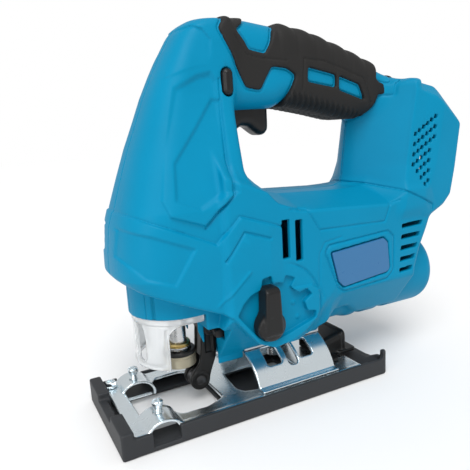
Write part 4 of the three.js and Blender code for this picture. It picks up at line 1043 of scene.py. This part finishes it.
place(sleeve, "clamp_sleeve", ["clamp_sleeve"], "khaki_metal")
rim = turned("clamp_ring_top", "z", ROD, [
    (6.7, 31.4), (8.7, 31.4), (9, 31.7), (9, 33.2), (8.6, 33.7), (7, 33.7), (6.7, 33.4)])
place(rim, "clamp_sleeve", ["clamp_sleeve"], "khaki_metal", BLACK)

CARRIED = {
    ALLOY: ["gear_frame", "tilt_saddle", "cooling_fan"],
    BRASS: ["upper_bushing", "lower_bushing", "left_terminal", "right_terminal"],
    STEEL: ["bevel_bolt", "bevel_washer", "gear_axle", "front_bearing", "rear_bearing", "crank_gear",
            "crank_pin", "pinion", "plunger_yoke", "selector_shaft"],
    ZINC: ["motor_can"],
    BLACK: ["upper_magnet", "lower_magnet", "brush_cap", "switch_module", "terminal_block"],
    COPPER: ["motor_armature", "left_brush", "right_brush"],
    BOARD: ["control_board"],
}
for material, names in CARRIED.items():
    for name in names:
        wear(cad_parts[name], material)

# ---------------------------------------------------------------- stage


FLOOR_HALF = 3
FLOOR_DROP = 0.0003  # keeps the floor clear of the sole
FLOOR_GREY = 0.86
ROOM_LIGHT = 0.62  # what the white room gives as light; the camera sees it as 1
SUN_FROM, SUN_POWER, SUN_WIDTH = (-0.25, -0.6, 1.0), 2.15, math.radians(35)
LAMP_TARGET = (0, 0, 0.1)


def make_stage():
    """A pale floor in a white room."""
    floor = bpy.data.meshes.new("floor")
    corners = [(-1, -1), (1, -1), (1, 1), (-1, 1)]
    floor.from_pydata([(FLOOR_HALF * a, FLOOR_HALF * b, 0) for a, b in corners], [], [(0, 1, 2, 3)])
    obj = add("floor", floor)
    obj.location.z = -FLOOR_DROP
    material = bpy.data.materials.new("pale_floor")
    material.use_nodes = True
    shader = material.node_tree.nodes["Principled BSDF"]
    shader.inputs["Base Color"].default_value = (FLOOR_GREY, FLOOR_GREY, FLOOR_GREY, 1)
    shader.inputs["Roughness"].default_value = 0.9
    floor.materials.append(material)
    world = bpy.data.worlds.new("studio")
    bpy.context.scene.world = world
    world.use_nodes = True
    nodes, links = world.node_tree.nodes, world.node_tree.links
    background = nodes["Background"]
    background.inputs["Color"].default_value = (1, 1, 1, 1)
    path = nodes.new("ShaderNodeLightPath")
    level = nodes.new("ShaderNodeMapRange")
    level.inputs["To Min"].default_value = ROOM_LIGHT
    level.inputs["To Max"].default_value = 1.0
    links.new(path.outputs["Is Camera Ray"], level.inputs["Value"])
    links.new(level.outputs["Result"], background.inputs["Strength"])
    bpy.context.scene.view_settings.view_transform = "Standard"


def make_lamp(name, spot, size, power):
    """A round lamp that points at the tool."""
    data = bpy.data.lights.new(name, "AREA")
    data.shape = "DISK"
    data.size = size
    data.energy = power
    obj = add(name, data)
    obj.location = spot
    obj.rotation_euler = (Vector(LAMP_TARGET) - Vector(spot)).to_track_quat("-Z", "Y").to_euler()


def make_sun():
    """A broad, even key light from above the front left, so that the floor stays white up to the horizon."""
    data = bpy.data.lights.new("key", "SUN")
    data.energy = SUN_POWER
    data.angle = SUN_WIDTH
    add("key", data).rotation_euler = (-Vector(SUN_FROM)).to_track_quat("-Z", "Y").to_euler()


CAMERA_SPOT = (-44.754, -251.604, 149.362)  # mm, in the drawing
CAMERA_ANGLES = (-26.685, 11.8, -3.395)  # turn, lift and roll, degrees
PICTURE = 470  # pixels across
FOCAL = 520  # pixels
SENSOR = 36


def make_camera():
    """The photograph's camera, fitted to the corners of the base."""
    turn, lift, roll = (math.radians(angle) for angle in CAMERA_ANGLES)
    right = Vector((math.cos(turn), math.sin(turn), 0))
    back = Vector((math.sin(turn) * math.cos(lift), -math.cos(turn) * math.cos(lift), math.sin(lift)))
    up = back.cross(right)
    across = right * math.cos(roll) + up * math.sin(roll)
    above = up * math.cos(roll) - right * math.sin(roll)
    data = bpy.data.cameras.new("camera")
    data.sensor_width = SENSOR
    data.lens = SENSOR * FOCAL / PICTURE
    data.clip_start = 0.01
    obj = add("camera", data)
    matrix = Matrix((across, above, back)).transposed().to_4x4()
    matrix.translation = Vector(ORIGIN + np.array(CAMERA_SPOT) * MM)
    obj.matrix_world = matrix
    bpy.context.scene.camera = obj


make_stage()
make_sun()
make_lamp("side", (-0.9, -0.5, 0.35), 0.5, 2.2)
make_camera()
